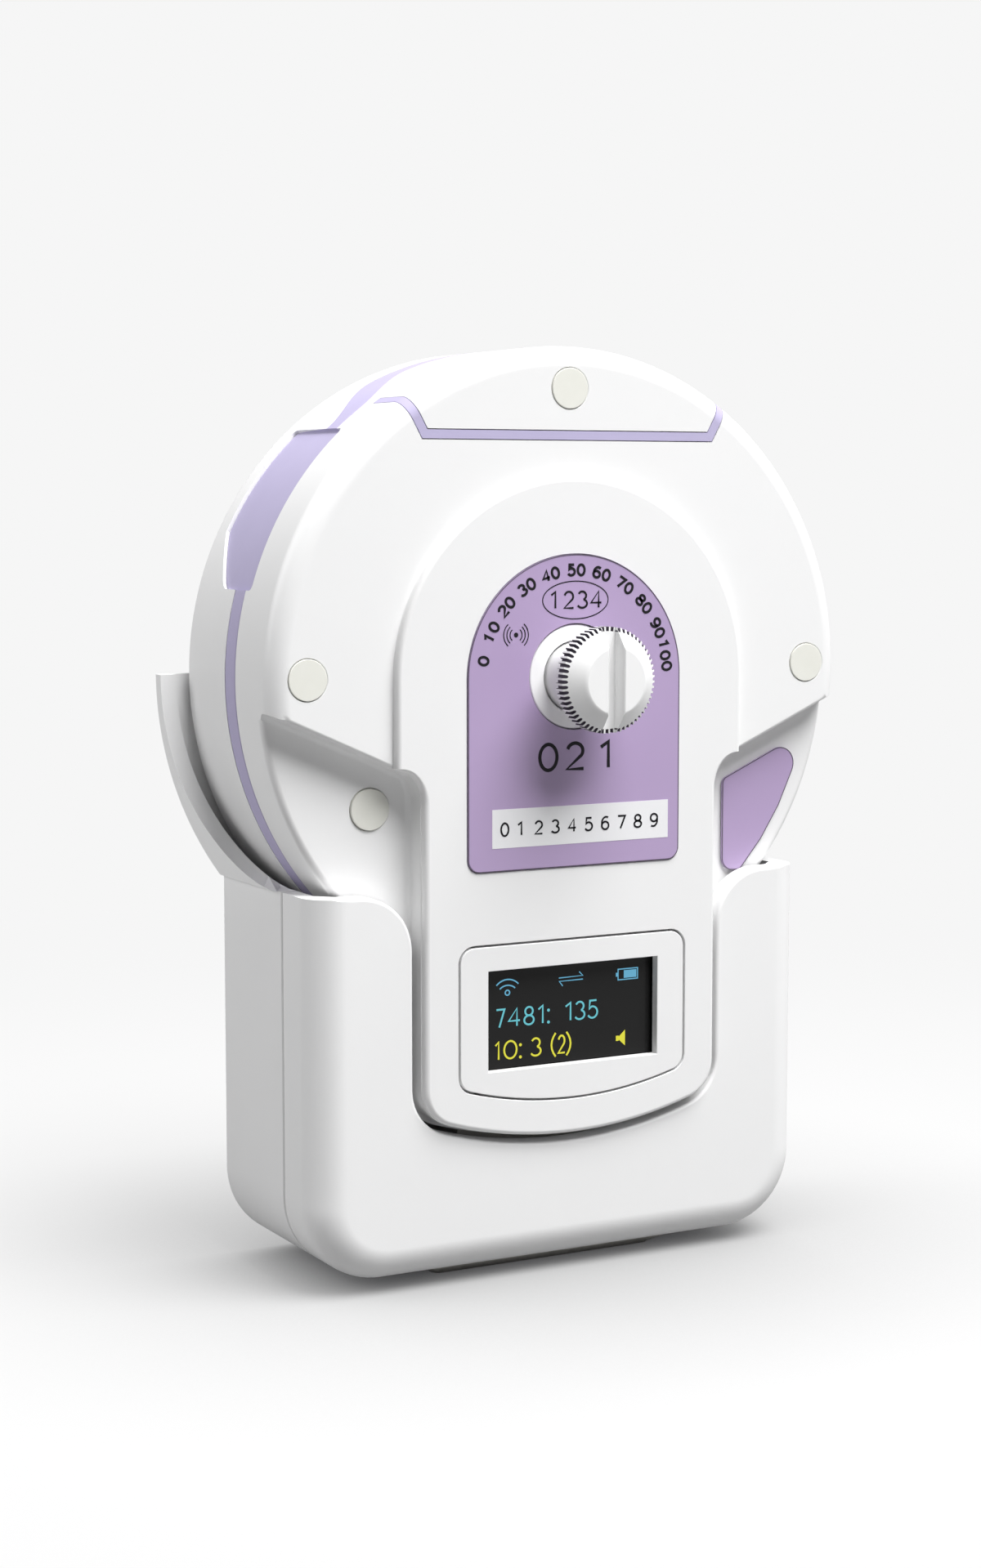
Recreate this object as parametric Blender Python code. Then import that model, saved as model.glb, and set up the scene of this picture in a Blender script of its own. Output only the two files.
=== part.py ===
"""Wireless fetal heart transducer standing in its charging cradle.

The transducer is a round body with a keyhole neck. It drops into the cradle from above, and four
sprung pins under the neck meet its charging pads. Sizes are in metres, X is to the right, Y to the
rear and Z up. The front faces -Y and the foot pad rests at Z = 0. Pieces of the transducer are
modelled about the centre of its round body, and an empty lifts them to their height.
"""

import math

import bmesh
import bpy

# Body of the transducer
DISC_RADIUS = 0.04135
DISC_DEPTH = 0.0270
DISC_FRONT_FILLET = 0.0026
DISC_REAR_FILLET = 0.0016
SHELL_WALL = 0.0020
RIM_WALL = 0.0034
RECESS_DEPTH = 0.0034
RECESS_FILLET = 0.0009
RECESS_INNER_SINK = 0.0130
RECESS_INNER_DROP = 0.01643
RECESS_TILT = math.radians(23.2)

# Neck of the transducer
NECK_STEP = 0.0012
NECK_EDGE = 0.00095
NECK_DEPTH = 0.0165
NECK_ARCH_STEP = 0.0038
NECK_ARC_RADIUS = 0.05864
NECK_LIFT = 0.01836
NECK_CORNER_RADIUS = 0.0050
NECK_REAR_FILLET = 0.0015
ARCH_RIM_INSET = 0.01635
SHOULDER_DROP = 0.0106
SHOULDER_HEIGHT = 0.0048

# Rim band with its grip pads
BAND_FRONT_SETBACK = 0.0108
BAND_WIDTH = 0.0031
BAND_THICKNESS = 0.0020
BAND_TOP_SHIFT = 0.0058
BAND_TOP_WIDTH = 0.0036
BAND_END_ANGLE = math.radians(147.0)
BAND_FRONT_TURN = (math.radians(20.0), math.radians(36.0))
BAND_REAR_TURN = (math.radians(26.0), math.radians(41.0))
PAD_TOP_ANGLE = math.radians(41.4)
PAD_KNEE_ANGLE = math.radians(63.8)
PAD_BOTTOM_ANGLE = math.radians(74.4)
PAD_CORNER_ANGLE = math.radians(1.3)
PAD_FORWARD = 0.0016
PAD_REARWARD = 0.0090
PAD_FOOT_REARWARD = 0.0038
PAD_CHAMFER = 0.0008
PAD_SINK = 0.0004

# Inlay line round the top cap
INLAY_ARCH_INSET = 0.0041
INLAY_RIM_INSET = 0.0117
INLAY_LINE = 0.0011
INLAY_LEAN = math.radians(29.0)
INLAY_THICKNESS = 0.0010
INLAY_REACH = 0.0086

# Screw plugs and case screws
PLUG_RADIUS = 0.00265
PLUG_THICKNESS = 0.0012
PLUG_PROUD = 0.0003
PLUG_SIDE_INSET = 0.00505
PLUG_TOP_INSET = 0.00535
PLUG_LOW_OUTSET = 0.0010
PLUG_LOW_DROP = 0.0161
HIDDEN_SCREW_INSET = 0.00568
HIDDEN_SCREW_ANGLE = math.radians(121.24)
POST_RADIUS = 0.0040
REAR_POST_RADIUS = 0.0026
SCREW_HEAD_RADIUS = 0.0021
SCREW_HEAD_HEIGHT = 0.0012
SCREW_SHANK_RADIUS = 0.0009
SCREW_BITE = 0.0045
SCREW_SOCKET_RADIUS = 0.0011
SCREW_SOCKET_DEPTH = 0.0006

# Labels
LABEL_SIDE_MARGIN = 0.00583
LABEL_BEZEL_GAP = 0.0095
LABEL_CORNER_RADIUS = 0.0016
LABEL_THICKNESS = 0.00025
LABEL_HOLE_RADIUS = 0.00666
SIDE_LABEL_NECK_GAP = 0.0014
SIDE_LABEL_TOP_INSET = 0.0016
SIDE_LABEL_RIM_INSET = 0.00165
SIDE_LABEL_FOOT_WIDTH = 0.0025
SIDE_LABEL_CORNER_RADIUS = 0.0012
SIDE_LABEL_THICKNESS = 0.0003

# Display
BEZEL_SIDE_MARGIN = 0.00483
BEZEL_HEIGHT = 0.0203
BEZEL_MARGIN = 0.00474
BEZEL_CORNER_RADIUS = 0.0020
BEZEL_THICKNESS = 0.0012
BEZEL_EDGE = 0.0003
BEZEL_GROOVE = 0.00035
WINDOW_SIDE_INSET = 0.00393
WINDOW_TOP_INSET = 0.0031
WINDOW_FOOT_INSET = 0.0043
DISPLAY_SIDE_LAP = 0.00091
DISPLAY_LAP = 0.0039
DISPLAY_THICKNESS = 0.00145
DISPLAY_TOP_MARGIN = 0.0012

# Belt knob
KNOB_STEM_RADIUS = 0.0043
KNOB_STEM_LENGTH = 0.0062
KNOB_STUD_RADIUS = 0.0024
KNOB_STUD_LENGTH = 0.0062
KNOB_RADIUS = 0.0068
KNOB_UNDERCUT_RADIUS = 0.0062
KNOB_UNDERCUT = 0.0005
KNOB_KNURL_WIDTH = 0.0020
KNOB_TOOTH_DEPTH = 0.0003
KNOB_TEETH = 60
KNOB_FACE_RADIUS = 0.00415
KNOB_CONE_DEPTH = 0.0015
KNOB_FACE_EDGE = 0.0004
KNOB_SLOT_WIDTH = 0.0021
KNOB_SLOT_DEPTH = 0.0026
KNOB_SPIGOT_RADIUS = 0.0022
KNOB_SPIGOT_LENGTH = 0.0009
RING_RADIUS = 0.0063
RING_THICKNESS = 0.0008
RING_EDGE = 0.0002
INSERT_RADIUS = 0.0034
INSERT_LENGTH = 0.0060
KNOB_BOSS_RADIUS = 0.0056

# Inner pieces of the transducer
ACOUSTIC_THICKNESS = 0.0022
ACOUSTIC_LEDGE = 0.0012
ACOUSTIC_EDGE = 0.0006
CARRIER_RIM_GAP = 0.00645
CARRIER_THICKNESS = 0.0016
CRYSTAL_RADIUS = 0.0060
CRYSTAL_THICKNESS = 0.0020
CRYSTAL_RIM_GAP = 0.0035
CRYSTALS_ROUND = 6
BOARD_ARCH_INSET = 0.0010
BOARD_THICKNESS = 0.0016
BOARD_TONGUE_MARGIN = 0.0047
BOARD_TONGUE_INSET = 0.00464
BATTERY_RIM_GAP = 0.02095
BATTERY_HALF_HEIGHT = 0.0130
BATTERY_THICKNESS = 0.0058
BATTERY_CORNER_RADIUS = 0.0020

# Cradle
CRADLE_DEPTH = 0.0286
CRADLE_RIM_INSET = 0.00545
CRADLE_TOP_INSET = 0.00054
CRADLE_BOTTOM_Z = 0.0016
CRADLE_FRONT_FILLET = 0.0044
CRADLE_REAR_FILLET = 0.0008
CRADLE_CORNER_RADIUS = 0.0103
CRADLE_WALL = 0.0022
CRADLE_FRONT_WALL = 0.0028
BACK_PLATE = 0.0013
SEAM_SETBACK = 0.0095
CRESCENT_GAP = 0.00155
CRESCENT_WALL = 0.0021
CRESCENT_TIP_DEPTH = 0.0023
CRESCENT_POWER = 2.5
SLOT_GAP = 0.0012
SLOT_MOUTH_RADIUS = 0.0072
SLOT_EDGE = 0.0008
FOOT_SIDE_INSET = 0.0180
FOOT_HALF_DEPTH = 0.0095
FOOT_TAPER = 0.0016
FOOT_CORNER_RADIUS = 0.0010
FOOT_INLET = 0.0007
COVER_SCREW_LOW_INSET = 0.0074
COVER_SCREW_LOW_Z = 0.0095
COVER_SCREW_HIGH_INSET = 0.0059
COVER_SCREW_DISC_GAP = 0.00665
COVER_POST_RADIUS = 0.0028
COVER_SCREW_LENGTH = 0.0200

# Charging contacts
BLOCK_HALF_WIDTH = 0.0140
BLOCK_SETBACK = 0.0043
BLOCK_DEPTH = 0.0100
PIN_COUNT = 4
PIN_PITCH = 0.0060
PIN_SETBACK = 0.0081
BARREL_RADIUS = 0.0015
BARREL_BORE_RADIUS = 0.0011
BARREL_LENGTH = 0.0070
BARREL_FLOOR = 0.0008
BARREL_SETBACK = 0.0010
PLUNGER_RADIUS = 0.00075
PLUNGER_TIP = 0.0003
PLUNGER_LENGTH = 0.0050
CHARGE_PAD_RADIUS = 0.0016
CHARGE_PAD_THICKNESS = 0.0010
CHARGE_BOARD_INSET = 0.0139
CHARGE_BOARD_DEPTH = 0.0170
CHARGE_BOARD_THICKNESS = 0.0016
INLET_HALF_WIDTH = 0.0046
INLET_HEIGHT = 0.0034
INLET_DEPTH = 0.0066
INLET_WALL = 0.0005

# Gaps between touching pieces, and how far a cutter overruns what it cuts
GAP = 0.0003
TRIM_GAP = 0.00012
PLUG_GAP = 0.0002
OVERRUN = 0.0010
WELD = 0.0000001
SETTLE = 0.000005

# Facets
DISC_STEPS = 72
ROUND_STEPS = 28
SMALL_STEPS = 16
CORNER_STEPS = 6
FILLET_STEPS = 3
SMOOTH_ANGLE = math.radians(32.0)

# Places worked out from the sizes above
FRONT_Y = -CRADLE_DEPTH / 2
REAR_Y = CRADLE_DEPTH / 2
SEAM_Y = FRONT_Y + SEAM_SETBACK
PLATE_Y = REAR_Y - BACK_PLATE
PIN_Y = FRONT_Y + PIN_SETBACK
BLOCK_FRONT_Y = FRONT_Y + BLOCK_SETBACK
NECK_Y = FRONT_Y - NECK_STEP
NECK_REAR_Y = NECK_Y + NECK_DEPTH
RECESS_Y = FRONT_Y + RECESS_DEPTH
DISC_REAR_Y = FRONT_Y + DISC_DEPTH
ARCH_RADIUS = DISC_RADIUS - ARCH_RIM_INSET
NECK_HALF_WIDTH = ARCH_RADIUS - NECK_ARCH_STEP
CRADLE_HALF_WIDTH = DISC_RADIUS - CRADLE_RIM_INSET
FOOT_HALF_WIDTH = CRADLE_HALF_WIDTH - FOOT_SIDE_INSET
CHARGE_BOARD_HALF_WIDTH = CRADLE_HALF_WIDTH - CHARGE_BOARD_INSET
CAVITY_RADIUS = DISC_RADIUS - RIM_WALL
BATTERY_HALF_WIDTH = CAVITY_RADIUS - BATTERY_RIM_GAP
BOARD_RADIUS = ARCH_RADIUS - BOARD_ARCH_INSET
BOARD_TONGUE_HALF_WIDTH = NECK_HALF_WIDTH - BOARD_TONGUE_MARGIN
INLAY_HALF_WIDTH = ARCH_RADIUS - INLAY_ARCH_INSET
LABEL_HALF_WIDTH = NECK_HALF_WIDTH - LABEL_SIDE_MARGIN
BEZEL_HALF_WIDTH = NECK_HALF_WIDTH - BEZEL_SIDE_MARGIN
WINDOW_HALF_WIDTH = BEZEL_HALF_WIDTH - WINDOW_SIDE_INSET
WINDOW_HEIGHT = BEZEL_HEIGHT - WINDOW_TOP_INSET - WINDOW_FOOT_INSET
DISPLAY_HALF_WIDTH = WINDOW_HALF_WIDTH + DISPLAY_SIDE_LAP
DISPLAY_HEIGHT = WINDOW_HEIGHT + DISPLAY_LAP
CARRIER_RADIUS = CAVITY_RADIUS - CARRIER_RIM_GAP
CRYSTAL_RING_RADIUS = CARRIER_RADIUS - CRYSTAL_RIM_GAP - CRYSTAL_RADIUS
DISC_HEIGHT = NECK_ARC_RADIUS + NECK_LIFT
CRESCENT_RADIUS = DISC_RADIUS + CRESCENT_GAP + CRESCENT_WALL
CRADLE_TOP_Z = DISC_HEIGHT - math.sqrt(CRESCENT_RADIUS**2 - (CRADLE_HALF_WIDTH + CRADLE_TOP_INSET) ** 2)
RECESS_INNER_X = ARCH_RADIUS - RECESS_INNER_SINK
INLAY_BASE_Z = DISC_RADIUS - INLAY_RIM_INSET
BEZEL_ARC_RADIUS = NECK_ARC_RADIUS - BEZEL_MARGIN
BEZEL_TOP_Z = BEZEL_HEIGHT - BEZEL_ARC_RADIUS
WINDOW_TOP_Z = BEZEL_TOP_Z - WINDOW_TOP_INSET
LABEL_BOTTOM_Z = BEZEL_TOP_Z + LABEL_BEZEL_GAP
SIDE_LABEL_INNER_X = ARCH_RADIUS + SIDE_LABEL_NECK_GAP
SIDE_LABEL_OUTER_RADIUS = DISC_RADIUS - SIDE_LABEL_RIM_INSET
BAND_FRONT_Y = FRONT_Y + BAND_FRONT_SETBACK
SHELL_SEAM_Y = BAND_FRONT_Y + BAND_WIDTH / 2
ACOUSTIC_Y = DISC_REAR_Y - ACOUSTIC_THICKNESS
CRYSTAL_Y = ACOUSTIC_Y - GAP - CRYSTAL_THICKNESS
CARRIER_Y = CRYSTAL_Y - GAP - CARRIER_THICKNESS
KNOB_HEAD_Y = NECK_Y - KNOB_STEM_LENGTH
RING_Y = NECK_Y + RING_THICKNESS
CRADLE_FLOOR_Z = CRADLE_BOTTOM_Z + CRADLE_WALL
CHARGE_BOARD_Z = CRADLE_FLOOR_Z + GAP
BLOCK_Z = CHARGE_BOARD_Z + CHARGE_BOARD_THICKNESS + GAP


def material(name, colour, roughness, metallic=0.0):
    """A Principled material with one colour."""
    made = bpy.data.materials.new(name)
    made.use_nodes = True
    shader = made.node_tree.nodes["Principled BSDF"]
    shader.inputs["Base Color"].default_value = (*colour, 1.0)
    shader.inputs["Roughness"].default_value = roughness
    shader.inputs["Metallic"].default_value = metallic
    made.diffuse_color = (*colour, 1.0)
    return made


def arc(centre_x, centre_z, radius, start, end, steps):
    """Points (x, z) along an arc, both ends included."""
    angles = [start + (end - start) * i / steps for i in range(steps + 1)]
    return [(centre_x + radius * math.cos(a), centre_z + radius * math.sin(a)) for a in angles]


def circle(radius, steps, centre=(0, 0)):
    """Points (x, z) round a whole circle."""
    return arc(centre[0], centre[1], radius, 0, 2 * math.pi, steps)[:-1]


def grown(outline, distance):
    """The outline with each side moved outward by a distance. Outlines run anticlockwise."""
    moved = []
    for i, point in enumerate(outline):
        before, after = outline[i - 1], outline[(i + 1) % len(outline)]
        normals = []
        for a, b in ((before, point), (point, after)):
            length = math.hypot(b[0] - a[0], b[1] - a[1])
            normals.append(((b[1] - a[1]) / length, (a[0] - b[0]) / length))
        nx, nz = normals[0][0] + normals[1][0], normals[0][1] + normals[1][1]
        reach = distance * 2 / (nx * nx + nz * nz)
        moved.append((point[0] + nx * reach, point[1] + nz * reach))
    return moved


def rounded(corners):
    """An anticlockwise outline from corners (x, z, radius), each corner turned into an arc."""
    outline = []
    for i, (x, z, radius) in enumerate(corners):
        if radius == 0:
            outline.append((x, z))
            continue
        before, after = corners[i - 1], corners[(i + 1) % len(corners)]
        back = math.atan2(before[1] - z, before[0] - x)
        ahead = math.atan2(after[1] - z, after[0] - x)
        half = ((ahead - back + math.pi) % (2 * math.pi) - math.pi) / 2
        middle = back + half
        reach = radius / abs(math.sin(half))
        centre = (x + reach * math.cos(middle), z + reach * math.sin(middle))
        sweep = math.pi - 2 * abs(half)
        toward = middle + math.pi
        first = -sweep / 2 if half < 0 else sweep / 2
        outline += arc(*centre, radius, toward + first, toward - first, CORNER_STEPS)
    return outline


def fillet_stations(y_edge, y_inner, growth):
    """Stations (y, growth) of a quarter round that ends at full size at y_inner."""
    stations = []
    for i in range(FILLET_STEPS + 1):
        turn = math.pi / 2 * i / FILLET_STEPS
        y = y_inner + (y_edge - y_inner) * math.cos(turn)
        stations.append((y, -growth * (1 - math.sin(turn))))
    return stations


def add_loft(bm, rings):
    """Skins closed rings of 3D points one after another and caps both ends."""
    made = [[bm.verts.new(point) for point in ring] for ring in rings]
    for first, second in zip(made, made[1:]):
        for i in range(len(first)):
            j = (i + 1) % len(first)
            bm.faces.new((first[i], first[j], second[j], second[i]))
    bm.faces.new(list(reversed(made[0])))
    bm.faces.new(made[-1])


def add_plate(bm, outline, stations):
    """An outline in the XZ plane carried along Y through stations (y, growth).

    The outline may be a function that takes the growth.
    """
    sized = outline if callable(outline) else lambda growth: grown(outline, growth)
    add_loft(bm, [[(x, y, z) for x, z in sized(g)] for y, g in stations])


def add_column(bm, outline, levels):
    """An outline in the XY plane carried along Z through levels (z, growth)."""
    sized = outline if callable(outline) else lambda growth: grown(outline, growth)
    add_loft(bm, [[(x, y, z) for x, y in sized(g)] for z, g in levels])


def add_turned(bm, profile, centre=(0, 0), steps=DISC_STEPS):
    """Turns a profile of (radius, y) about the Y axis. Radius 0 at an end closes it in a point.

    A y may be a function of the angle down from the top of the circle.
    """
    rings = []
    for radius, y in profile:
        if radius == 0:
            rings.append([bm.verts.new((centre[0], y, centre[1]))])
            continue
        ring = []
        for i, (x, z) in enumerate(circle(radius, steps, centre)):
            angle = abs(math.remainder(2 * math.pi * i / steps - math.pi / 2, 2 * math.pi))
            ring.append(bm.verts.new((x, y(angle) if callable(y) else y, z)))
        rings.append(ring)
    loop = rings if len(rings[0]) == 1 else rings + rings[:1]
    for first, second in zip(loop, loop[1:]):
        for i in range(steps):
            j = (i + 1) % steps
            if len(first) == 1:
                bm.faces.new((first[0], second[j], second[i]))
            elif len(second) == 1:
                bm.faces.new((first[i], first[j], second[0]))
            else:
                bm.faces.new((first[i], first[j], second[j], second[i]))


def add_rod(bm, radius, y_start, y_end, centre=(0, 0), steps=SMALL_STEPS):
    """A plain round rod along Y."""
    add_turned(bm, [(0, y_start), (radius, y_start), (radius, y_end), (0, y_end)], centre, steps)


def shape(name, parent, build, finish=None, origin=(0, 0, 0)):
    """An object whose mesh the build function fills. Without a finish it is a hidden tool shape."""
    bm = bmesh.new()
    build(bm)
    bmesh.ops.remove_doubles(bm, verts=bm.verts, dist=WELD)
    bmesh.ops.recalc_face_normals(bm, faces=bm.faces)
    bmesh.ops.triangulate(bm, faces=bm.faces)
    mesh = bpy.data.meshes.new(name)
    bm.to_mesh(mesh)
    bm.free()
    obj = bpy.data.objects.new(name, mesh)
    bpy.context.scene.collection.objects.link(obj)
    obj.parent = parent
    obj.location = origin
    if finish is None:
        obj.hide_render = True
        obj.display_type = "WIRE"
    else:
        mesh.materials.append(finish)
        mesh.shade_smooth()
        mesh.set_sharp_from_angle(angle=SMOOTH_ANGLE)
    return obj


def boolean(target, operation, *tools):
    """Stacks one exact Boolean modifier for each tool shape, each with a weld for its slivers."""
    for tool in tools:
        modifier = target.modifiers.new(operation.lower(), "BOOLEAN")
        modifier.operation = operation
        modifier.solver = "EXACT"
        modifier.object = tool
        modifier.use_hole_tolerant = True
        settled = target.modifiers.new("settle", "WELD")
        settled.merge_threshold = SETTLE


def smooth_share(value, start, end):
    """0 before the start and 1 after the end, with an even S between."""
    share = min(max((value - start) / (end - start), 0), 1)
    return share * share * (3 - 2 * share)


def between(first, second, share):
    return first + (second - first) * share


# Outlines of the transducer, in (x, z) about the disc's centre


def bottom_arc(radius, half_width, corner):
    """The lower end of the neck, from its left side to its right: two corners and a shallow arc."""
    inner = radius - corner
    swing = math.asin((half_width - corner) / inner)
    left = -math.pi / 2 - swing
    right = -math.pi / 2 + swing
    cx, cz = inner * math.cos(right), inner * math.sin(right)
    points = arc(-cx, cz, corner, -math.pi, left, CORNER_STEPS)
    points += arc(0, 0, radius, left, right, 2 * CORNER_STEPS)[1:-1]
    points += arc(cx, cz, corner, right, 0, CORNER_STEPS)
    return points


def neck_outline(growth):
    """The arch round the label, the shoulders where it narrows, and the curved lower end."""
    right_side = []
    for i in range(CORNER_STEPS + 1):
        share = i / CORNER_STEPS
        x = between(NECK_HALF_WIDTH, ARCH_RADIUS, smooth_share(share, 0, 1)) + growth
        right_side.append((x, -SHOULDER_DROP - SHOULDER_HEIGHT * (1 - share)))
    left_side = [(-x, z) for x, z in reversed(right_side)]
    arch = arc(0, 0, ARCH_RADIUS + growth, 0, math.pi, DISC_STEPS // 2)
    lower = bottom_arc(
        NECK_ARC_RADIUS + growth, NECK_HALF_WIDTH + growth, NECK_CORNER_RADIUS + growth
    )
    return lower + right_side + arch + left_side


def above_recess_outline():
    """The part of the round face above the two slanted recess edges."""
    far_x = DISC_RADIUS + OVERRUN
    far_z = (far_x - RECESS_INNER_X) * math.tan(RECESS_TILT) - RECESS_INNER_DROP
    return [
        (-RECESS_INNER_X, -RECESS_INNER_DROP),
        (RECESS_INNER_X, -RECESS_INNER_DROP),
        (far_x, far_z),
        (far_x, far_x),
        (-far_x, far_x),
        (-far_x, far_z),
    ]


def label_outline():
    corner = LABEL_CORNER_RADIUS
    low = [
        (-LABEL_HALF_WIDTH, LABEL_BOTTOM_Z, corner),
        (LABEL_HALF_WIDTH, LABEL_BOTTOM_Z, corner),
        (LABEL_HALF_WIDTH, 0, 0),
    ]
    arch = arc(0, 0, LABEL_HALF_WIDTH, 0, math.pi, DISC_STEPS // 2)
    return rounded(low + [(x, z, 0) for x, z in arch[1:]])


def bezel_outline():
    corner = BEZEL_CORNER_RADIUS
    top = rounded(
        [
            (BEZEL_HALF_WIDTH, BEZEL_TOP_Z - BEZEL_HALF_WIDTH / 2, 0),
            (BEZEL_HALF_WIDTH, BEZEL_TOP_Z, corner),
            (-BEZEL_HALF_WIDTH, BEZEL_TOP_Z, corner),
            (-BEZEL_HALF_WIDTH, BEZEL_TOP_Z - BEZEL_HALF_WIDTH / 2, 0),
        ]
    )
    return bottom_arc(BEZEL_ARC_RADIUS, BEZEL_HALF_WIDTH, corner) + top


def box_outline(x_low, x_high, z_low, z_high, corner=0.0):
    """A rectangle, which may have round corners."""
    return rounded(
        [(x_low, z_low, corner), (x_high, z_low, corner), (x_high, z_high, corner), (x_low, z_high, corner)]
    )


def side_label_outline():
    """Three-cornered label in the right recess: its outer side follows the rim."""
    slope = math.tan(RECESS_TILT)
    top_left_z = (SIDE_LABEL_INNER_X - RECESS_INNER_X) * slope - RECESS_INNER_DROP
    top_left_z -= SIDE_LABEL_TOP_INSET / math.cos(RECESS_TILT)
    low_z = -math.sqrt(SIDE_LABEL_OUTER_RADIUS**2 - (SIDE_LABEL_INNER_X + SIDE_LABEL_FOOT_WIDTH) ** 2)
    start = math.asin(low_z / SIDE_LABEL_OUTER_RADIUS)
    base_z = top_left_z - SIDE_LABEL_INNER_X * slope
    spread = 1 + slope * slope
    half_b = slope * base_z
    root = math.sqrt(half_b * half_b - spread * (base_z * base_z - SIDE_LABEL_OUTER_RADIUS**2))
    corner_x = (root - half_b) / spread
    end = math.asin((base_z + slope * corner_x) / SIDE_LABEL_OUTER_RADIUS)
    rim = arc(0, 0, SIDE_LABEL_OUTER_RADIUS, start, end, CORNER_STEPS)
    low_x = SIDE_LABEL_INNER_X + SIDE_LABEL_CORNER_RADIUS
    corners = [(low_x, low_z, SIDE_LABEL_CORNER_RADIUS / 2)]
    corners += [(*rim[0], SIDE_LABEL_CORNER_RADIUS / 2)]
    corners += [(x, z, 0) for x, z in rim[1:-1]]
    corners += [(*rim[-1], SIDE_LABEL_CORNER_RADIUS)]
    corners += [(SIDE_LABEL_INNER_X, top_left_z, SIDE_LABEL_CORNER_RADIUS)]
    corners += [(SIDE_LABEL_INNER_X, low_z + SIDE_LABEL_CORNER_RADIUS, 0)]
    return rounded(corners)


def inlay_outline(line_gap):
    """The bent line round the top cap: a flat base and two sides that lean out past the rim."""
    rise = DISC_RADIUS - INLAY_BASE_Z
    run = rise * math.tan(INLAY_LEAN)
    outer = [
        (-INLAY_HALF_WIDTH - run, DISC_RADIUS),
        (-INLAY_HALF_WIDTH, INLAY_BASE_Z),
        (INLAY_HALF_WIDTH, INLAY_BASE_Z),
        (INLAY_HALF_WIDTH + run, DISC_RADIUS),
    ]
    step_x = INLAY_LINE * math.tan((math.pi / 2 - INLAY_LEAN) / 2)
    side_x = INLAY_LINE / math.cos(INLAY_LEAN)
    inner = [
        (INLAY_HALF_WIDTH + run - side_x, DISC_RADIUS),
        (INLAY_HALF_WIDTH - step_x, INLAY_BASE_Z + INLAY_LINE),
        (-INLAY_HALF_WIDTH + step_x, INLAY_BASE_Z + INLAY_LINE),
        (-INLAY_HALF_WIDTH - run + side_x, DISC_RADIUS),
    ]
    return grown(outer + inner, line_gap)


# Bodies of revolution


def disc_profile(front_y, rear_y, front_fillet, rear_fillet, radius=DISC_RADIUS):
    """Half section of a round body with rolled front and rear edges."""
    profile = [(0, front_y)]
    for i in range(FILLET_STEPS + 1):
        turn = math.pi / 2 * i / FILLET_STEPS
        reach = radius - front_fillet * (1 - math.sin(turn))
        profile.append((reach, front_y + front_fillet * (1 - math.cos(turn))))
    if rear_fillet == 0:
        profile.append((radius, rear_y))
    else:
        for i in range(FILLET_STEPS + 1):
            turn = math.pi / 2 * i / FILLET_STEPS
            reach = radius - rear_fillet * (1 - math.cos(turn))
            profile.append((reach, rear_y - rear_fillet * (1 - math.sin(turn))))
    profile.append((0, rear_y))
    return profile


# The rim band: its front and rear edges as functions of the angle down from the top


def band_shifts(angle):
    """How far the band's front and rear edges lie behind their place on the disc's sides."""
    front = BAND_TOP_SHIFT * (1 - smooth_share(angle, *BAND_FRONT_TURN))
    rear_reach = BAND_TOP_SHIFT + BAND_TOP_WIDTH - BAND_WIDTH
    return front, rear_reach * (1 - smooth_share(angle, *BAND_REAR_TURN))


def band_edges(angle):
    """(front y, rear y, sink) of the band at an angle from the top of the disc."""
    front_shift, rear_shift = band_shifts(angle)
    front = BAND_FRONT_Y + front_shift
    rear = BAND_FRONT_Y + BAND_WIDTH + rear_shift
    if not PAD_TOP_ANGLE < angle < PAD_BOTTOM_ANGLE:
        return front, rear, 0
    nearest_end = min(angle - PAD_TOP_ANGLE, PAD_BOTTOM_ANGLE - angle)
    chamfer = PAD_CHAMFER * (1 - min(nearest_end / PAD_CORNER_ANGLE, 1))
    knee_share = max(angle - PAD_KNEE_ANGLE, 0) / (PAD_BOTTOM_ANGLE - PAD_KNEE_ANGLE)
    rearward = between(PAD_REARWARD, PAD_FOOT_REARWARD, knee_share)
    return front - PAD_FORWARD + chamfer, rear + rearward - chamfer, PAD_SINK


def band_angles():
    """Angles from the left end over the top to the right end, close together where edges jump."""
    hair = PAD_CORNER_ANGLE / CORNER_STEPS**2
    steps = DISC_STEPS
    marks = {BAND_END_ANGLE * i / (steps // 2) for i in range(steps // 2 + 1)}
    for edge, inward in ((PAD_TOP_ANGLE, 1), (PAD_BOTTOM_ANGLE, -1)):
        marks |= {edge, edge + hair * inward, edge + PAD_CORNER_ANGLE * inward}
    marks.add(PAD_KNEE_ANGLE)
    half = sorted(marks)
    kept = [a for i, a in enumerate(half) if i == 0 or a - half[i - 1] > hair / 2]
    return [-a for a in reversed(kept[1:])] + kept


def add_band(bm, inner_radius, outer_radius, gap, sinks):
    """Sweeps the band's section round the disc. A gap widens it into the tool that cuts its groove."""
    end_gap = gap / DISC_RADIUS
    rings = []
    angles = band_angles()
    for i, angle in enumerate(angles):
        front, rear, sink = band_edges(abs(angle))
        outer = outer_radius - (sink if sinks else 0)
        if i in (0, len(angles) - 1):
            angle += math.copysign(end_gap, angle)
        section = (
            (inner_radius, front - gap),
            (outer, front - gap),
            (outer, rear + gap),
            (inner_radius, rear + gap),
        )
        rings.append([(r * math.sin(angle), y, r * math.cos(angle)) for r, y in section])
    add_loft(bm, rings)


def seam_y(angle):
    """Depth of the line where the shells meet, which runs hidden under the band."""
    return SHELL_SEAM_Y + sum(band_shifts(angle)) / 2


def front_rim_y(angle):
    return seam_y(angle) - GAP / 2


def rear_rim_y(angle):
    return seam_y(angle) + GAP / 2


# Places of the case screws: (name, x, z, face depth, has a plug)


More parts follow.
